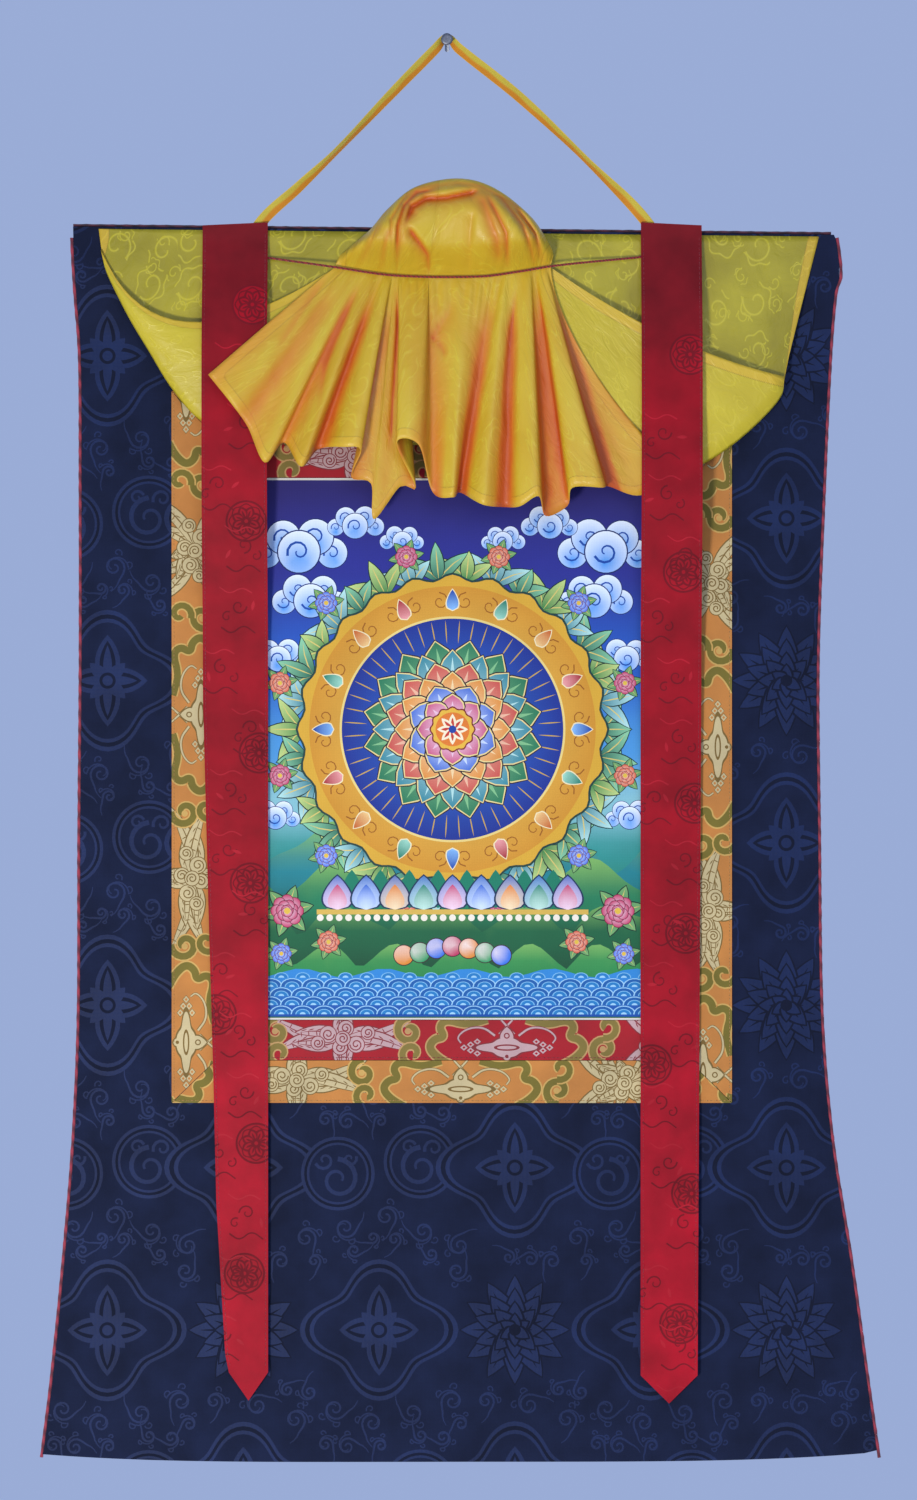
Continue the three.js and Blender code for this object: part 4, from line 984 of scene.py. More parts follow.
def petal_base(middle, base):
    """Row of broad upright petals over a gold rail, with pearls and offered fruit below it"""
    figures = []
    for number in range(3, -5, -1):
        x = middle + (number + 0.5) * 19.5
        figures.append((petal(x, base + 2, 26, 16, 90, 0.6, 12), flat("#147a5c")))
    pairs = (("#f7dbe4", "#c23a68"), ("#d7e7f8", "#2b62c0"), ("#fbe3b4", "#df7d2d"), ("#c9ecd8", "#18806a"))
    for number in range(-4, 5):
        heart, tip = pairs[number % 4]
        x = middle + number * 19.5
        figures.append((petal(x, base, 25, 22, 90, 0.6, 12), flat("#16314f")))
        figures.append((petal(x, base + 0.8, 23, 19.5, 90, 0.6, 12), glow(x, base + 2, 24, heart, "#1c5fae")))
        figures.append((petal(x, base + 1, 17, 13, 90, 0.6, 12), glow(x, base + 2, 16, heart, tip)))
    rail = [(middle + x, base + z) for x, z in ((-92, 1), (92, 1), (92, -2.4), (-92, -2.4))]
    figures.append((rail, flat("#d7b04a", 1)))
    for number in range(-14, 15):
        figures.append((lobed(middle + number * 6.4, base - 4.6, 2.3, count=14), flat("#f1e6cf")))
    for number in range(-3, 4):
        x, z = middle + number * 11, -612 + 3 * math.cos(number)
        code = ("#c0335a", "#e08a2e", "#2f9a5c", "#2f6fd0")[number % 4]
        figures.append((lobed(x, z, 7.2, count=26), flat("#3a1a26")))
        figures.append((lobed(x, z, 6.6, count=26), glow(x - 1.5, z + 2, 8, "#f8e6dc", code)))
    return figures


def painted_figures():
    left, right, top, bottom = PANEL_OUTLINE
    middle, centre = (left + right) / 2, -462
    figures = landscape(left - 5, right + 5, top, bottom, middle)
    clouds = ((104, -338, 15, 1), (96, -372, 12, -1), (66, -322, 9, 1), (34, -333, 7, -1), (118, -412, 9, 1))
    blossoms = (
        (112, -585, 11, "#c43a62", "#f5dfe6", "#1f7a50"),
        (84, -606, 7.5, "#d9603a", "#fbe9cf", "#16704a"),
        (116, -614, 7, "#3f6fd0", "#e8f0fb", "#1f7a50"),
    )
    for sense in (-1, 1):
        for across, z, size, way in (*clouds, (120, -520, 8, -1)):
            figures += cloud(middle + across * sense, z, size, way * sense)
        for across, z, size, *tones in blossoms:
            figures += blossom(middle + across * sense, z, size, *tones)
    return figures + jewelled_ring(middle, centre) + petal_base(middle, -585)


low_x, high_x, high_z, low_z = (edge + way * SEAM for edge, way in zip(PANEL_OUTLINE, (1, -1, -1, 1)))
panel_outline = with_steps([(low_x, low_z), (high_x, low_z), (high_x, high_z), (low_x, high_z)], 30)
margin = (*dye("#d8d2c2"), 0.0)
painting = cloth_sheet(
    "painted_canvas", panel_outline, painted_figures(), (10, 10), strip_front, over_ground, margin
)
painting.data.materials.append(cloth_material("painted_canvas", 0.0011, 0.6, 0.42, 0.25, 0.05, 0.12, 0.05))
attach(painting, "root")
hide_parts("painting_panel")

# Ribbons
# Two bands of red figured satin, sewn in at the top edge and left to hang, with pointed ends.
# They fall over the gathered cover, which holds them off the cloth, and carry plain rosettes and scrolls.
# Each height, and the x of both edges there
LEFT_RIBBON = (
    (-897, -147.5, -121), (-885, -150, -121), (-783, -156, -121), (-699, -158, -121), (-577, -161.5, -121),
    (-442, -165, -121), (-120, -165, -121),
)
RIGHT_RIBBON = ((-899, 131, 169.5), (-442, 131, 172), (-120, 131, 172))
# Height, depth and slant of each crease
LEFT_CREASES = ((-148, 0.5, 0.05), (-152, 0.3, -0.1), (-640, 0.2, 0.02))
RIGHT_CREASES = (
    (-146, 0.45, -0.03), (-188, 0.35, 0.04), (-232, 0.35, -0.02), (-268, 0.3, 0.03), (-560, 0.2, 0.02),
)
# Each height, and how far from the wall the middle of a ribbon hangs there
RIBBON_DEPTHS = (
    (-950, 12.6), (-480, 12.6), (-400, 15), (-335, 24), (-300, 28), (-215, 28), (-185, 25.5), (-150, 19.4),
    (-142, 18.4), (-134, 17), (-110, 16.9),
)
RIBBON_HALF = 0.55
ribbon_tones = {"ground": flat("#a00c1d", 0.6), "figure": flat("#74101b"), "light": flat("#ae1626", 1.0)}


def straight_value(rows, column, place):
    for start, end in zip(rows, rows[1:]):
        if place <= end[0]:
            share = max((place - start[0]) / (end[0] - start[0]), 0)
            return start[column] + (end[column] - start[column]) * share
    return rows[-1][column]


def rosette(x, z, radius):
    """Round rosette: two rings around eight petals and a small star"""
    figure, ground = ribbon_tones["figure"], ribbon_tones["ground"]
    figures = ring(lambda size: lobed(x, z, size, count=40), radius, 1.4, figure, ground)
    figures += ring(lambda size: lobed(x, z, size, 8, 0.06, count=48), radius - 2.6, 0.9, figure, ground)
    for number in range(8):
        for shorter, width, tone in ((3.6, 6.6, figure), (5.0, 4.0, ground), (6.4, 1.4, figure)):
            figures.append((petal(x, z, radius - shorter, width, 22.5 + 45 * number, 1.4), tone))
    figures.append((lobed(x, z, 3.1, 8, 0.2, count=32), figure))
    figures.append((lobed(x, z, 1.3, count=12), ground))
    return figures


def ribbon_figures(low_x, high_x, shift):
    """Rosettes set left and right of the middle, with curls and short wavy lines between them"""
    figures = []
    middle = (low_x + high_x) / 2
    figure, light = ribbon_tones["figure"], ribbon_tones["light"]
    for z, across in ((-176, 12), (-322, 8), (-478, 16), (-566, 10), (-655, -13), (-742, 14), (-830, 6)):
        figures += rosette(middle + across, z + shift, 14)
    for number in range(17):
        z = -215 - number * 41 + shift * 1.4
        x = middle + 11 * math.sin(number * 2.3 + shift)
        sense = 1 if number % 2 else -1
        low_wave, high_wave = (
            rounded([(x + dx, z + dz) for dx, dz in wave])
            for wave in (((-12, -14), (-5, -19), (3, -12), (11, -18)), ((9, 9), (2, 13), (-6, 8), (-13, 13)))
        )
        figures.append((band(curl(x, z, 5.5, 1.1, 90 * number, sense, 16), 1.2, 0.4), figure))
        figures.append((band(curl(x + 8 * sense, z - 7, 3.8, 1.0, 60, -sense, 14), 1.1, 0.4), figure))
        figures.append((petal(x - 9 * sense, z - 3, 7, 2.2, 200 * number), light))
        figures.append((band(low_wave, 1.2, 0.3), figure))
        figures.append((band(high_wave, 1.0, 0.3), light))
    return figures


def ribbon_middle(z):
    return value_at(RIBBON_DEPTHS, 1, z)


def ribbon_outline(edges, raise_right):
    """Pointed foot, both edges, and a top that slants by 2 mm"""
    left, right, shoulder = edges[0][1], edges[0][2], edges[0][0]
    top, step = -121.7, 6.5
    outline = [(left + (right - left) / 2, shoulder - 19)]
    height = shoulder
    while height < top:
        outline.append((straight_value(edges, 2, height), height))
        height += step
    for k in range(5):
        share = k / 4
        x = straight_value(edges, 2, top) * (1 - share) + straight_value(edges, 1, top) * share
        outline.append((x, top + 2 * ((1 - share) if raise_right else share)))
    while height > shoulder + step:
        height -= step
        outline.append((straight_value(edges, 1, height), height))
    return outline + [(left, shoulder)]


def make_ribbon(name, edges, raise_right, shift, creases):
    middle_x = (straight_value(edges, 1, -200) + straight_value(edges, 2, -200)) / 2

    def front(x, z):
        crease = 0
        for height, deep, slant in creases:
            crease += deep * math.exp(-((z - height - slant * (x - middle_x)) / 1.8) ** 2)
        ripple = 0.16 * noise.noise(Vector((x * 0.05, z * 0.012, shift)))
        edge = min(abs(x - straight_value(edges, 1, z)), abs(x - straight_value(edges, 2, z)))
        hem = 0.18 * math.exp(-((edge - 2.5) / 0.9) ** 2)
        return ribbon_middle(z) + RIBBON_HALF - crease + ripple - hem

    def back(x, z):
        return ribbon_middle(z) - RIBBON_HALF

    # Satin red, a little lighter below -760 mm than above -520 mm, and darker from -240 mm up, which is painted
    # shade at the top of the ribbon
    def satin_with_painted_shade(x, z):
        low = mix(dye("#a80a20"), dye("#98081a"), smoothstep(z, -760, -520))
        return (*mix(low, dye("#7a1019"), smoothstep(z, -240, -165)), 0.6)
    figures = ribbon_figures(straight_value(edges, 1, -300), straight_value(edges, 2, -300), shift)
    outline = ribbon_outline(edges, raise_right)
    return cloth_sheet(name, outline, figures, (5, 6.5), front, back, satin_with_painted_shade, ribbon_tones["ground"])


ribbon_satin = cloth_material("red_figured_satin", 0.0006, 0.6, 0.4, 0.12, 0.1, 0.3, 0.22)
ribbons = (
    ("left_ribbon", LEFT_RIBBON, True, 0, LEFT_CREASES, "ribbon_left"),
    ("right_ribbon", RIGHT_RIBBON, False, -34, RIGHT_CREASES, "ribbon_right"),
)
for name, edges, raise_right, shift, creases, node in ribbons:
    ribbon = make_ribbon(name, edges, raise_right, shift, creases)
    ribbon.data.materials.append(ribbon_satin)
    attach(ribbon, "root")
    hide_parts(node)
    seams = []
    heights = [edges[0][0] + 6 * k for k in range(1, 129)]
    for column, inward in ((1, 1.7), (2, -1.7)):
        seams.append([(straight_value(edges, column, z) + inward, ribbon_middle(z) + 0.52, z) for z in heights])
    sewn = stitched("stitches_" + name, seams, 3.4, 2.3, 0.36, red_thread)
    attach(sewn, "root")

# Silk cover
# One sheet of yellow figured silk, sewn in along the top edge. It hangs down, turns forward and is drawn up
# behind a string into a puff, and its hem falls below the string as a fan of pleats.
SEAM_LEFT, SEAM_RIGHT, SEAM_DEPTH, SEAM_DROP = -235.5, 251.5, 13.9, 1.5
GATHER_LEFT, GATHER_RIGHT, GATHER_BACK, GATHER_FRONT = -76, 70, 17.3, 20.3
# Share of the width, with the x and the height of the lower fold there
FOLD_LINE = (
    (0, -233.5, -138), (0.02, -229.5, -152), (0.05, -216, -179.5), (0.1, -201.5, -204), (0.15, -185.5, -230),
    (0.2, -166.5, -251), (0.27, -139.5, -261), (0.35, -99, -263), (0.45, -31.5, -266.5), (0.55, 36, -276.5),
    (0.65, 103, -291), (0.75, 144, -293), (0.82, 171.5, -281.5), (0.88, 194.5, -266.5), (0.94, 215, -248),
    (0.98, 226, -234), (1, 227.5, -224),
)
# Share of the width, with the x and the height that bend the lifted cloth's way there
LIFT_LINE = (
    (0, -196.5, -230), (0.05, -173, -241.5), (0.1, -145, -246.5), (0.2, -99, -236.5), (0.35, -55, -226.5),
    (0.5, 2, -220), (0.65, 76, -233), (0.82, 130, -233), (1, 150, -207.5),
)
# Share of the way up, and how far the lifted cloth swells forward there
LIFT_DEPTHS = ((0, 0), (0.3, 4.0), (0.6, 3.0), (0.85, 0), (1, -2))
# The string's x, depth and height
STRING_POINTS = (
    (-136, 15.9, -141.5), (-121, 16.2, -143.5), (-78, 22.9, -150.3), (-35, 22.9, -156.3), (22, 22.9, -157),
    (49, 22.9, -153.6), (73.5, 22.9, -149.6), (131, 16.2, -143), (145, 15.9, -141.5),
)
# Number of each turn in the hem, its share of the gathers, its x, height and depth, and how late it spreads
FAN_ROWS = (
    (0, 0, -160, -224.5, 36, 1), (1, 0.03, -144, -244.5, 40, 1), (2, 0.06, -133.5, -259.5, 34, 1),
    (3, 0.1, -122, -283.5, 39, 1), (4, 0.135, -109.5, -269.5, 32, 1), (5, 0.17, -97.5, -286.5, 43, 1),
    (6, 0.215, -86.5, -274, 30, 1), (7, 0.24, -69, -273.5, 44, 1), (8, 0.26, -57.5, -275.5, 44, 1),
    (9, 0.27, -64, -293, 33, 1), (10, 0.278, -51, -297, 31, 1), (11, 0.284, -49, -321, 31, 1),
    (12, 0.29, -31.5, -299, 29, 1), (13, 0.296, -21, -299.5, 28, 1), (14, 0.31, -33.5, -271, 46, 1),
    (15, 0.425, -18.5, -272.5, 46, 1), (16, 0.45, -9.5, -303, 34, 1), (17, 0.6, 4, -307, 41, 1),
    (18, 0.75, 9, -303, 30, 1), (19, 0.785, 24, -312, 43, 1), (20, 0.835, 39, -313, 33, 1),
    (21, 0.86, 49, -313, 43, 1), (22, 0.9, 61.5, -306.5, 45, 1), (23, 0.912, 66.5, -319, 33, 1),
    (24, 0.925, 81, -312, 30, 1), (25, 0.942, 84, -300.5, 41, 1), (26, 0.972, 104, -300.5, 42, 1),
    (27, 0.985, 109, -299, 30, 1.2), (28, 0.992, 131, -304.5, 25.5, 1.4), (29, 1, 154.5, -288.5, 25, 1.6),
)
FAN_MEAN_DEPTH = 33
# Share of the gathers, with the x and the height of the puff's rim there
RIM_LINE = (
    (0, -72, -142.4), (0.037, -64, -136.3), (0.1, -50.8, -126.2), (0.187, -40.4, -113.9), (0.337, -21.3, -98.2),
    (0.5, 6.8, -92.2), (0.663, 31, -98.2), (0.84, 55.8, -117.5), (0.975, 70.5, -138.3), (1, 71.6, -142.4),
)
PUFF_RIM, PUFF_BULGE = 30, 30
# Path of each fold, its depth, how far it reaches under and over, and the strength of its painted shade, orange
# to red
PUFF_FOLDS = (
    (
        ((66, -150), (60, -133), (46, -112), (23, -99.5), (7, -97.6),
            (-18, -100.5), (-28, -107), (-37, -123), (-36, -148)),
        3.0, 3.4, 1.5, 0.45,
    ),
    (((-6, -102), (-20, -104), (-28, -113), (-32.6, -127), (-33.5, -150)), 3.6, 3.4, 1.5, 0.7),
    (
        ((22, -103.2), (13.8, -104.6), (0, -107.5), (-14, -108.5), (-23, -114), (-27.5, -127)),
        7.5, 5.0, 1.9, 1.0,
    ),
    (((-12, -158), (-13, -144), (-19.5, -136), (-26, -128)), 5.5, 3.8, 1.7, 0.9),
    (((22, -104), (27.5, -118), (33.5, -135), (35.6, -150)), 4.0, 4.0, 5.0, 0.55),
    (((27, -105), (40, -131.5), (42, -158)), 3.4, 1.4, 2.8, 0.6),
    (((34, -104), (50.6, -126), (56, -139), (61, -152)), 3.2, 1.4, 2.8, 0.55),
    (((44, -112), (59, -130), (64, -150)), 2.0, 1.4, 2.2, 0.3),
    (((-60, -152), (-52, -138), (-44, -124)), 1.6, 3.0, 3.0, 0.25),
    (((-46, -154), (-42, -140), (-38, -128)), 1.5, 2.5, 2.5, 0.4),
    (((14, -156), (15.5, -131), (17, -118)), 2.2, 5.0, 2.0, 0.15),
)
# The fan's folds, in the same columns; the last is the strength of their painted shade
FAN_FOLDS = (
    (((-33.5, -158), (-33, -190), (-36, -240), (-38, -272)), 1.5, 0.7, 1.6, 0.6),
    (((12, -160), (2, -179), (-9.5, -198)), 2.4, 6.0, 1.4, 0.08),
    (((-10.5, -197), (-4, -204), (-1, -210)), 1.8, 3.0, 1.4, 0.08),
    (((48, -160), (44, -190), (40, -230), (42, -270)), 1.5, 0.9, 2.0, 0.4),
    (((61, -160), (68, -200), (74, -245), (79, -296)), 1.6, 0.8, 1.8, 0.5),
    (((-56, -156), (-66, -180), (-80, -215), (-86, -250)), 1.4, 1.6, 3.2, 0.3),
    (((-78, -153), (-96, -180), (-114, -208)), 1.2, 2.0, 3.6, 0.25),
    (((74, -160), (92, -190), (112, -225), (126, -262)), 1.2, 3.0, 5.0, 0.2),
)


def string_height(x):
    return value_at([(px, pz) for px, _, pz in STRING_POINTS], 1, x)


def fold_drop(x, z, folds):
    """How deep the folds lie at a point, and how much painted shade, orange to red, they get there. A fold
    drops at its path, and rises again slowly on the left of the way along it and fast on the right, where the
    cloth lies over it."""
    drop, shade_in_folds, reach = 0, 0, 25
    for path, deep, under, over, shade_strength in folds:
        near, left, place = 1e9, True, 0
        for index, ((ax, az), (bx, bz)) in enumerate(zip(path, path[1:])):
            dx, dz = bx - ax, bz - az
            share = min(max(((x - ax) * dx + (z - az) * dz) / (dx * dx + dz * dz), 0), 1)
            off_x, off_z = x - ax - share * dx, z - az - share * dz
            if math.hypot(off_x, off_z) < near:
                near, left = math.hypot(off_x, off_z), dx * off_z - dz * off_x > 0
                place = (index + share) / (len(path) - 1)
        if near < reach:
            end = min(1, 6 * place + 0.15, 6 * (1 - place) + 0.15)
            steep = math.exp(-(near / over) ** 2)
            drop += deep * end * (math.exp(-near / under) if left else steep)
            # Painted shade in orange to red along the fold, reaching furthest under the cloth that lies over it
            shade_in_folds += shade_strength * end * (math.exp(-near / (under * 0.8)) if left else steep)
    return drop, shade_in_folds


def ripple(x, z, across, up, seed):
    return noise.noise(Vector((x * across, z * up, seed)))


def gather_wave(along, shift=0):
    """Small uneven pleats along the string"""
    return math.cos(2 * math.pi * (along * 21 + 0.4 * math.sin(along * 17)) + shift)


def puff_front(x, z, way, along, rim, rim_depth):
    dome = math.sin(math.pi * way ** 0.8) ** 0.7 if 0 < way < 1 else 0
    from_rim = math.hypot(x - rim[0], z - rim[1])
    flank = 1 - abs(2 * along - 1) ** 4
    depth = rim_depth + PUFF_BULGE * dome * flank
    depth += 1.6 * flank * math.exp(-((from_rim - 2.6) / 2.2) ** 2)
    face = math.hypot(x - 2, z + 129) / 30
    return depth - 6 * max(0, 1 - face ** 2)


def cover_columns():
    """Places along the hem, close enough to round each pleat, each with its share of the hem's length"""
    columns = []
    for index in range(len(FAN_ROWS) - 1):
        here, ahead = FAN_ROWS[index], FAN_ROWS[index + 1]
        by_share, by_length = (ahead[1] - here[1]) * 150 / 1.15, math.dist(here[2:5], ahead[2:5]) / 3
        steps = max(4, math.ceil(by_share), math.ceil(by_length))
        for k in range(steps):
            columns.append([value_at(FAN_ROWS, column, index + k / steps) for column in range(1, 6)])
    columns.append(list(FAN_ROWS[-1][1:]))
    total, last = 0, columns[0]
    for column in columns:
        total += math.dist(column[1:4], last[1:4])
        column.append(total)
        last = column
    for column in columns:
        column[5] /= total
    return columns


def cover_grid(columns):
    """Rows of points from the seam to the hem, each with the name of its part and the painted shade, orange to
    red, of its folds
    """
    rows = []

    def seam_at(share):
        x = SEAM_LEFT + (SEAM_RIGHT - SEAM_LEFT) * share
        return x, top_edge(x) - SEAM_DROP

    def fold_at(share):
        return value_at(FOLD_LINE, 1, share), value_at(FOLD_LINE, 2, share)

    def fold_size(share):
        return min(1, math.dist(seam_at(share), fold_at(share)) / 30)

    def gather_at(along):
        x = GATHER_LEFT + (GATHER_RIGHT - GATHER_LEFT) * along
        return x, string_height(x)

    def rim_of(along):
        return value_at(RIM_LINE, 1, along), value_at(RIM_LINE, 2, along)

    def rim_depth(along):
        return 18.8 + (PUFF_RIM - 18.8) * smoothstep(rim_of(along)[1] - gather_at(along)[1], 5, 32)

    def between(start, end, way):
        return start[0] + (end[0] - start[0]) * way, start[1] + (end[1] - start[1]) * way

    def hanging(way, along, share):
        x, z = between(seam_at(share), fold_at(share), way)
        soft = 0.7 * math.sin(math.pi * way) * (ripple(x, z, 0.03, 0.02, 3) + 0.5 * ripple(x, z, 0.09, 0.05, 5))
        return x, SEAM_DEPTH + 1.6 * fold_size(share) * way + soft, z, 0

    def turning(way, along, share):
        x, z = fold_at(share)
        return x, SEAM_DEPTH + 3.4 * fold_size(share), z - 2 * fold_size(share), 0

    def lifted(way, along, share):
        end_x, end_z = gather_at(along)
        a, b, c = (1 - way) ** 2, 2 * way * (1 - way), way ** 2
        x = a * value_at(FOLD_LINE, 1, share) + b * value_at(LIFT_LINE, 1, share) + c * end_x
        z = a * value_at(FOLD_LINE, 2, share) + b * value_at(LIFT_LINE, 2, share) + c * end_z
        start = SEAM_DEPTH + 5.4 * fold_size(share)
        soft = math.sin(math.pi * way) * ripple(x, z, 0.022, 0.05, 8)
        return x, start + (GATHER_BACK + 2 - start) * way + value_at(LIFT_DEPTHS, 1, way) + soft, z, 0

    def puff_behind(way, along, share):
        x, z = between(gather_at(along), rim_of(along), way)
        return x, GATHER_BACK + (rim_depth(along) - GATHER_BACK) * way ** 2, z, 0

    def puff_before(way, along, share):
        rim, end = rim_of(along), gather_at(along)
        x, z = between(rim, end, way)
        opened = smoothstep(z - end[1], 0.5, min(20, 0.75 * (rim[1] - end[1]))) ** 0.7
        drop, shade_in_folds = fold_drop(x, z, PUFF_FOLDS)
        gathers = 0.7 * gather_wave(along) * math.exp(-((z - end[1]) / 11) ** 2)
        rumple = 0.5 * ripple(x, z, 0.07, 0.09, 1)
        front = puff_front(x, z, way, along, rim, rim_depth(along))
        full = front - drop * min(way / 0.12, 1) + gathers + rumple
        clear = rim_depth(along) + (GATHER_FRONT - rim_depth(along)) * min(way / 0.07, 1)
        # The last value is the painted shade of the folds here
        return x, max(GATHER_FRONT + (full - GATHER_FRONT) * opened, clear), z, shade_in_folds * opened

    def falling(way, along, share, x, z, depth, lag):
        start_x, start_z = gather_at(along)
        px, pz = start_x + (x - start_x) * way ** lag, start_z + (z - start_z) * way
        mean = min(FAN_MEAN_DEPTH, depth)
        drop, shade_in_folds = fold_drop(px, pz, FAN_FOLDS)
        fade = smoothstep(way, 0.02, 0.2)
        gathers = 0.6 * gather_wave(along, 0.6) * math.exp(-(way / 0.16) ** 2) * smoothstep(way, 0, 0.05)
        rumple = 0.8 * fade * (ripple(px, pz, 0.05, 0.03, 4) + 0.5 * ripple(px, pz, 0.12, 0.06, 2))
        swept = GATHER_FRONT + (mean - GATHER_FRONT) * math.sin(math.pi / 2 * way) ** 0.9
        full = swept + (depth - mean) * way ** 0.8
        # The last value is the painted shade of the folds here
        return px, full + gathers + rumple - drop * fade * 0.8, pz, shade_in_folds * fade

    parts = (
        (0, hanging, [k / 26 for k in range(27)]),
        (1, turning, [0]),
        (2, lifted, [k / 18 for k in range(19)]),
        (3, puff_behind, [0.25, 0.5, 0.75, 1]),
        (4, puff_before, [0.02, 0.045, 0.075] + [0.1 + 0.9 * k / 40 for k in range(41)]),
        (5, falling, [0.02, 0.04, 0.07, 0.1] + [0.14 + 0.86 * k / 30 for k in range(31)]),
    )
    for part, point_at, ways in parts:
        for way in ways:
            row = []
            for along, x, z, depth, lag, share in columns:
                extra = (x, z, depth, lag) if part == 5 else ()
                row.append(point_at(way, along, share, *extra))
            rows.append((part, way, row))
    return rows


def sheet_measures(rows, columns):
    """For each point: how much painted shade it gets, from how deep it lies in a fold and how far it is turned
    from the low left lamp, its part of the sheet, its distance from the nearest edge, and its place on the flat
    cloth"""
    count = len(columns)
    runs = [0] * count
    painted_shades, parts, edges, flat_places = [], [], [], []
    for r, (part, way, row) in enumerate(rows):
        if r:
            runs = [run + math.dist(row[c][:3], rows[r - 1][2][c][:3]) for c, run in enumerate(runs)]
        flat_places += [(column[5] * 0.56, run * MM) for column, run in zip(columns, runs)]
        across = [0]
        for c in range(1, count):
            across.append(across[-1] + math.hypot(row[c][0] - row[c - 1][0], row[c][2] - row[c - 1][2]))
        first, last, total = 0, 0, 0
        for c in range(count):
            while last < count and across[last] <= across[c] + 12:
                total += row[last][1]
                last += 1
            while across[first] < across[c] - 12:
                total -= row[first][1]
                first += 1
            pleat_shade = 0
            # Painted shade in the fan: more in a valley that lies deeper than the cloth on either side, and on
            # a side that faces right, away from the low left lamp; the folds' own painted shade is added to it
            if part == 5:
                before, after = max(c - 2, 0), min(c + 2, count - 1)
                turned = (row[before][1] - row[after][1]) / max(across[after] - across[before], 0.5)
                sunk = total / (last - first) - row[c][1] + 1
                pleat_shade = max(sunk, 0) / 5.5 + min(max(turned, 0), 1) * 0.4
            painted_shades.append(min(pleat_shade * smoothstep(way, 0.03, 0.3) + row[c][3], 1))
            parts.append(part)
            edges.append(min(across[c], across[-1] - across[c]) * MM)
    for index, (_, down) in enumerate(flat_places):
        edges[index] = min(edges[index], runs[index % count] * MM - down)
    return {"PaintedShade": painted_shades, "Part": parts, "Edge": edges}, flat_places


def make_cover():
    columns = cover_columns()
    rows = cover_grid(columns)
    count = len(columns)
    verts = [(x * MM, -depth * MM, z * MM) for _, _, row in rows for x, depth, z, _ in row]
    corners = [r * count + c for r in range(len(rows) - 1) for c in range(count - 1)]
    polys = [(a, a + count, a + count + 1, a + 1) for a in corners]
    piece = add_piece("silk_cover", verts, polys)
    measures, flat_places = sheet_measures(rows, columns)
    for name, values in measures.items():
        piece.data.attributes.new(name, "FLOAT", "POINT").data.foreach_set("value", values)
    rest = [value for poly in polys for corner in poly for value in flat_places[corner]]
    piece.data.uv_layers.new(name="Cloth").uv.foreach_set("vector", rest)
    thick = piece.modifiers.new("thickness", "SOLIDIFY")
    thick.thickness = 0.6 * MM
    thick.offset = 0
    return piece


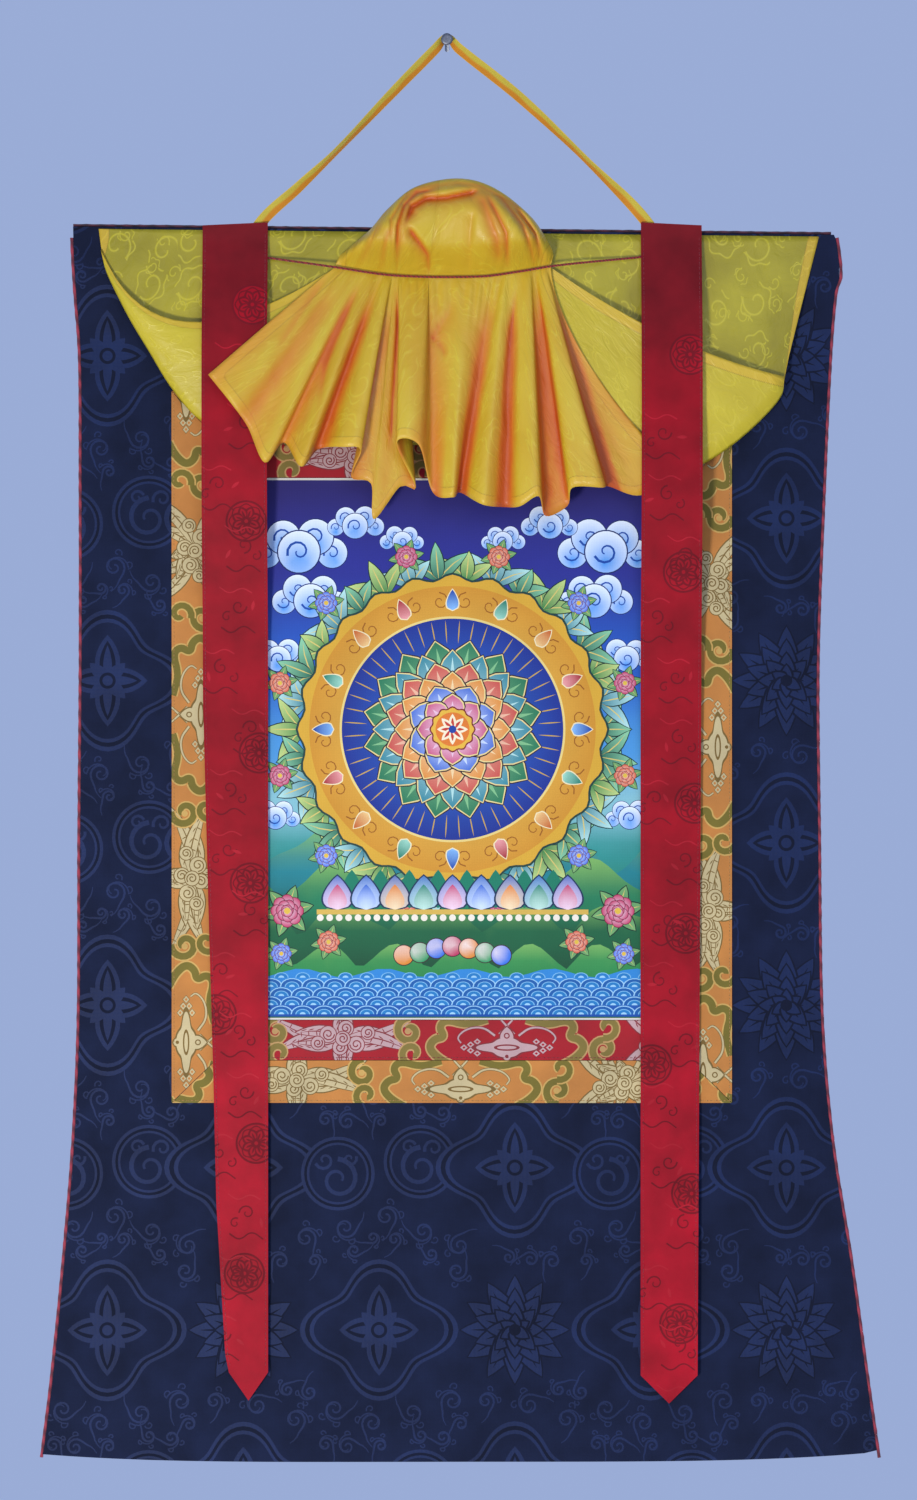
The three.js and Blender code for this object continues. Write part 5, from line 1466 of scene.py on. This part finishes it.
def silk_material():
    """Figured silk: olive where it hangs, lemon where it is lifted, gold in the puff and the fan, and painted
    shade in orange to red in the folds. Curls and rings woven into it shine, and a turned hem runs along its
    edges."""
    material, tree, shader = new_material("yellow_figured_silk")
    part, painted_shade, edge = (
        add_node(tree, "Attribute", {}, attribute_name=name)["Fac"] for name in ("Part", "PaintedShade", "Edge")
    )

    def number(operation, *inputs):
        return add_node(tree, "Math", dict(enumerate(inputs)), operation=operation)["Value"]

    def times(first, second):
        return number("MULTIPLY", first, second)

    def line(value, middle, width):
        """One on a line where the value is near the middle, and nought away from it"""
        away = number("ABSOLUTE", number("SUBTRACT", value, middle))
        return number("SUBTRACT", 1, number("SMOOTH_MIN", 1, number("DIVIDE", away, width), 0.3))

    place = add_node(tree, "UVMap", {}, uv_map="Cloth")["UV"]
    woven = []
    for repeat, seed, size in ((0.036, 0.0, 1.0), (0.024, 7.3, 0.66)):
        moved = {0: place, 1: (1 / repeat,) * 3, 2: (seed, seed * 0.7, 0)}
        scaled = add_node(tree, "VectorMath", moved, operation="MULTIPLY_ADD")["Vector"]
        cell_values = {"Vector": scaled, "Scale": 1, "Randomness": 0.5}
        cells = add_node(tree, "TexVoronoi", cell_values, voronoi_dimensions="2D")
        local = add_node(tree, "VectorMath", {0: scaled, 1: cells["Position"]}, operation="SUBTRACT")["Vector"]
        ways = add_node(tree, "SeparateXYZ", {"Vector": local})
        chance = add_node(tree, "SeparateColor", {"Color": cells["Color"]})
        reach = number("SQRT", number("ADD", times(ways["X"], ways["X"]), times(ways["Y"], ways["Y"])))
        angle = number("ARCTAN2", ways["Y"], ways["X"])
        turn = number("FRACT", number("ADD", number("DIVIDE", angle, 2 * math.pi), chance["Red"]))
        hook = line(reach, number("MULTIPLY_ADD", turn, 0.25 * size, 0.07 * size), 0.032)
        wavy = number("MULTIPLY_ADD", number("SINE", times(turn, 12 * math.pi)), 0.035 * size, 0.36 * size)
        opened = number("GREATER_THAN", number("FRACT", times(turn, 2)), chance["Green"])
        woven.append(number("MAXIMUM", hook, times(line(reach, wavy, 0.028), opened)))
    marks = number("MAXIMUM", *woven)
    twill = {"Vector": place, "Scale": 520, "Distortion": 2}
    threads = add_node(tree, "TexWave", twill, bands_direction="DIAGONAL")["Fac"]
    crumple = {"Vector": place, "Scale": 55, "Detail": 4, "Distortion": 1.2}
    creases = add_node(tree, "TexNoise", crumple)["Fac"]
    patches = add_node(tree, "TexNoise", {"Vector": place, "Scale": 14, "Detail": 3})["Fac"]
    in_front = number("GREATER_THAN", part, 2.5)
    lifted = number("GREATER_THAN", part, 0.5)
    base = mixed(tree, in_front, mixed(tree, lifted, "#8f8208", "#bfa91c"), "#c99f1c")
    light = mixed(tree, in_front, mixed(tree, lifted, "#d8c82c", "#dcc830"), "#dccb3c")
    tone = mixed(tree, times(number("SUBTRACT", patches, 0.35), 1.3), base, light)
    tone = mixed(tree, times(marks, number("MULTIPLY_ADD", lifted, -0.15, 0.5)), tone, light)
    tone = mixed(tree, times(number("LESS_THAN", edge, 0.007), 0.55), tone, "#dcae2c")
    sewn = times(line(edge, 0.007, 0.0007), number("GREATER_THAN", threads, 0.3))
    tone = mixed(tree, times(sewn, 0.6), tone, "#8a6314")
    # Painted shade: orange in the folds and on sides turned from the lamp, and deep red where it is strongest
    tone = mixed(tree, number("MINIMUM", times(painted_shade, 1.4), 1), tone, "#d0701f")
    tone = mixed(tree, number("MAXIMUM", number("MULTIPLY_ADD", painted_shade, 1.5, -0.95), 0), tone, "#ae260f")
    raised = number("MULTIPLY_ADD", marks, 0.5, times(creases, number("MULTIPLY_ADD", lifted, -4, 10)))
    height = number("ADD", raised, times(threads, 0.2))
    bump = add_node(tree, "Bump", {"Height": height, "Strength": 0.35, "Distance": 0.4 * MM})["Normal"]
    rough = number("MULTIPLY_ADD", marks, -0.12, 0.42)
    look = {"Base Color": tone, "Roughness": rough, "Specular IOR Level": 0.45, "Normal": bump}
    set_values(tree, shader, look)
    return material


cover = make_cover()
cover.data.materials.append(silk_material())
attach(cover, "root")
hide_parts("veil")

# Hanging tape
# A flat tape woven in two yellows, 8 mm wide. It runs from behind one ribbon over the nail to the other,
# and its width turns along the way.
# The tape's x, depth and height, and the angle by which its face is turned
TAPE_STATIONS = (
    (-128, 15.4, -137, 90), (-127.5, 15.4, -122, 88), (-99.5, 13.5, -94.5, 52), (-75, 12.5, -71, 25),
    (-32, 11, -26, 48), (-8, 10.2, -1.5, 50), (0, 10, 6.8, 25), (8, 10.2, -1, 50), (49.5, 11.5, -34.5, 52),
    (96.5, 13, -79, 26), (137, 15.4, -122, 88), (138.5, 15.4, -137, 90),
)


def smooth_path(stations, step):
    """Points and their values on a smooth curve through the stations, a step apart"""
    rows, run = [], 0
    for index, station in enumerate(stations):
        if index:
            run += math.dist(station[:3], stations[index - 1][:3])
        rows.append((run, *station))
    count = round(run / step)
    columns = range(1, len(rows[0]))
    return [[value_at(rows, column, run * k / count) for column in columns] for k in range(count + 1)]


def directions(path, index):
    """Direction of the path at one point, and the two that cross it: towards the wall, and out"""
    along = heading(path, index)
    deep = (Vector((0, 1, 0)) - along * along.y).normalized()
    return along, deep, deep.cross(along)


TAPE_HALF, ACROSS_STEPS = 4, 12
tape_path = smooth_path(TAPE_STATIONS, 1.2)
ring_count = 2 * ACROSS_STEPS
tape_verts, tape_polys, tape_tones = [], [], []
for index, (x, depth, z, face) in enumerate(tape_path):
    along, deep, out = directions(tape_path, index)
    turn = math.radians(face)
    wide = deep * math.cos(turn) + out * math.sin(turn)
    thick = along.cross(wide)
    for k in reversed(range(ring_count)):
        share, front = (k / ACROSS_STEPS, 1) if k < ACROSS_STEPS else (2 - k / ACROSS_STEPS, -1)
        across = (share * 2 - 1) * (TAPE_HALF - 0.05)
        cup = 0.25 * (1 - (across / TAPE_HALF) ** 2)
        rib = 0.05 * math.cos(index * 2.4 + front * across * 3)
        rounding = 0.42 * math.sqrt(max(1 - (across / TAPE_HALF) ** 8, 0.02))
        off = thick * (cup - 0.12 + front * (rounding + rib))
        tape_verts.append((Vector((x, -depth, z)) + wide * across + off) * MM)
        selvage = abs(share - 0.5) > 0.42
        orange = smoothstep(share + 0.04 * math.sin(index * 0.3), 0.38, 0.6)
        woven = (*mix(dye("#d8c043"), dye("#dd8d23"), orange), 0.3)
        tape_tones.append(flat("#e3bd5c", 0.6) if selvage else woven)
for r in range(len(tape_path) - 1):
    for k in range(ring_count):
        here, beside = r * ring_count + k, r * ring_count + (k + 1) % ring_count
        tape_polys.append((here, beside, beside + ring_count, here + ring_count))
tape_polys.append(tuple(reversed(range(ring_count))))
tape_polys.append(tuple(range(len(tape_verts) - ring_count, len(tape_verts))))
tape = add_piece("two_tone_tape", tape_verts, tape_polys)
tape_weave = tape.data.color_attributes.new("Weave", "FLOAT_COLOR", "POINT")
tape_weave.data.foreach_set("color", [value for tone in tape_tones for value in tone])
tape.data.set_sharp_from_angle(angle=math.radians(50))
tape.data.materials.append(cloth_material("two_tone_tape", 0.0005, 0.6, 0.5, 0.2, 0.22, 0.6, 0.08))
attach(tape, "root")
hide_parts("hanging_tape")

# Gather string
# A dark red string of three twisted strands, 1.7 mm thick, sewn in behind both ribbons.
# It runs over the silk cover, which is drawn up behind it.
STRAND_HALF, STRAND_SIDES = 0.43, 6
string_path = smooth_path(STRING_POINTS, 0.6)
string_verts, string_polys = [], []
for strand in range(3):
    for index, (x, depth, z) in enumerate(string_path):
        along, deep, out = directions(string_path, index)
        lay = 2 * math.pi * (strand / 3 + index * 0.6 / 5.5)
        middle = Vector((x, -depth, z)) + (deep * math.cos(lay) + out * math.sin(lay)) * STRAND_HALF
        for k in range(STRAND_SIDES):
            angle = 2 * math.pi * k / STRAND_SIDES
            string_verts.append((middle + (deep * math.cos(angle) + out * math.sin(angle)) * STRAND_HALF) * MM)
            if index:
                here = len(string_verts) - 1
                back = here - STRAND_SIDES
                turned = 1 - STRAND_SIDES if k == STRAND_SIDES - 1 else 1
                string_polys.append((back, back + turned, here + turned, here))
    first = strand * len(string_path) * STRAND_SIDES
    string_polys.append(tuple(range(first + STRAND_SIDES - 1, first - 1, -1)))
    string_polys.append(tuple(range(len(string_verts) - STRAND_SIDES, len(string_verts))))
gather_cord = add_piece("gather_cord", string_verts, string_polys)
gather_cord.data.materials.append(cord_material("dark_red_string", "#a3241a", "#5a0f10", 220))
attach(gather_cord, "root")
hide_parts("gather_string")

# Nail
# A dull steel wire nail, 3 mm thick, driven in so that it rises to its head.
# The head is flat with a worn edge, and shallow gripping rings are pressed into the wire below it.
NAIL_SIDES = 40
NAIL_RISE = math.tan(math.radians(11))
# The nail's radius and the distance from the wall where it has it
NAIL_PROFILE = [(0, 0), (1.5, 0), (1.5, 14.4)]
for groove in range(4):
    for radius, reach in ((1.5, 14.5), (1.36, 14.7), (1.36, 14.85), (1.5, 15.05)):
        NAIL_PROFILE.append((radius, reach + groove * 0.6))
NAIL_PROFILE += [
    (1.6, 17.2), (2.4, 17.9), (3.7, 18.35), (3.95, 18.55), (4.0, 18.9), (3.85, 19.45), (3.4, 19.75),
    (2.2, 19.9), (0, 19.95),
]
nail_verts, nail_polys = [], []
for r, (radius, reach) in enumerate(NAIL_PROFILE):
    for k in range(NAIL_SIDES):
        angle = 2 * math.pi * k / NAIL_SIDES
        worn = radius * (1 + 0.012 * math.cos(3 * angle + 1)) if radius > 3 else radius
        rise = NAIL_RISE * reach
        nail_verts.append((worn * math.cos(angle) * MM, -reach * MM, (worn * math.sin(angle) + rise) * MM))
        if r:
            here, beside = (r - 1) * NAIL_SIDES + k, (r - 1) * NAIL_SIDES + (k + 1) % NAIL_SIDES
            nail_polys.append((here, beside, beside + NAIL_SIDES, here + NAIL_SIDES))
nail = add_piece("wire_nail", nail_verts, nail_polys)
nail.data.set_sharp_from_angle(angle=math.radians(55))
weld = nail.modifiers.new("closed_ends", "WELD")
weld.merge_threshold = 0.00001
steel, steel_tree, steel_shader = new_material("dull_steel")
steel_place = add_node(steel_tree, "TexCoord", {})["Object"]
tarnish = add_node(steel_tree, "TexNoise", {"Vector": steel_place, "Scale": 900, "Detail": 4})["Fac"]
steel_tone = mixed(steel_tree, tarnish, "#4a4b52", "#8b8f98")
steel_gloss = add_node(steel_tree, "MapRange", {"Value": tarnish, "To Min": 0.55, "To Max": 0.35})["Result"]
set_values(steel_tree, steel_shader, {"Base Color": steel_tone, "Roughness": steel_gloss, "Metallic": 0.9})
nail.data.materials.append(steel)
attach(nail, "root")
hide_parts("nail")
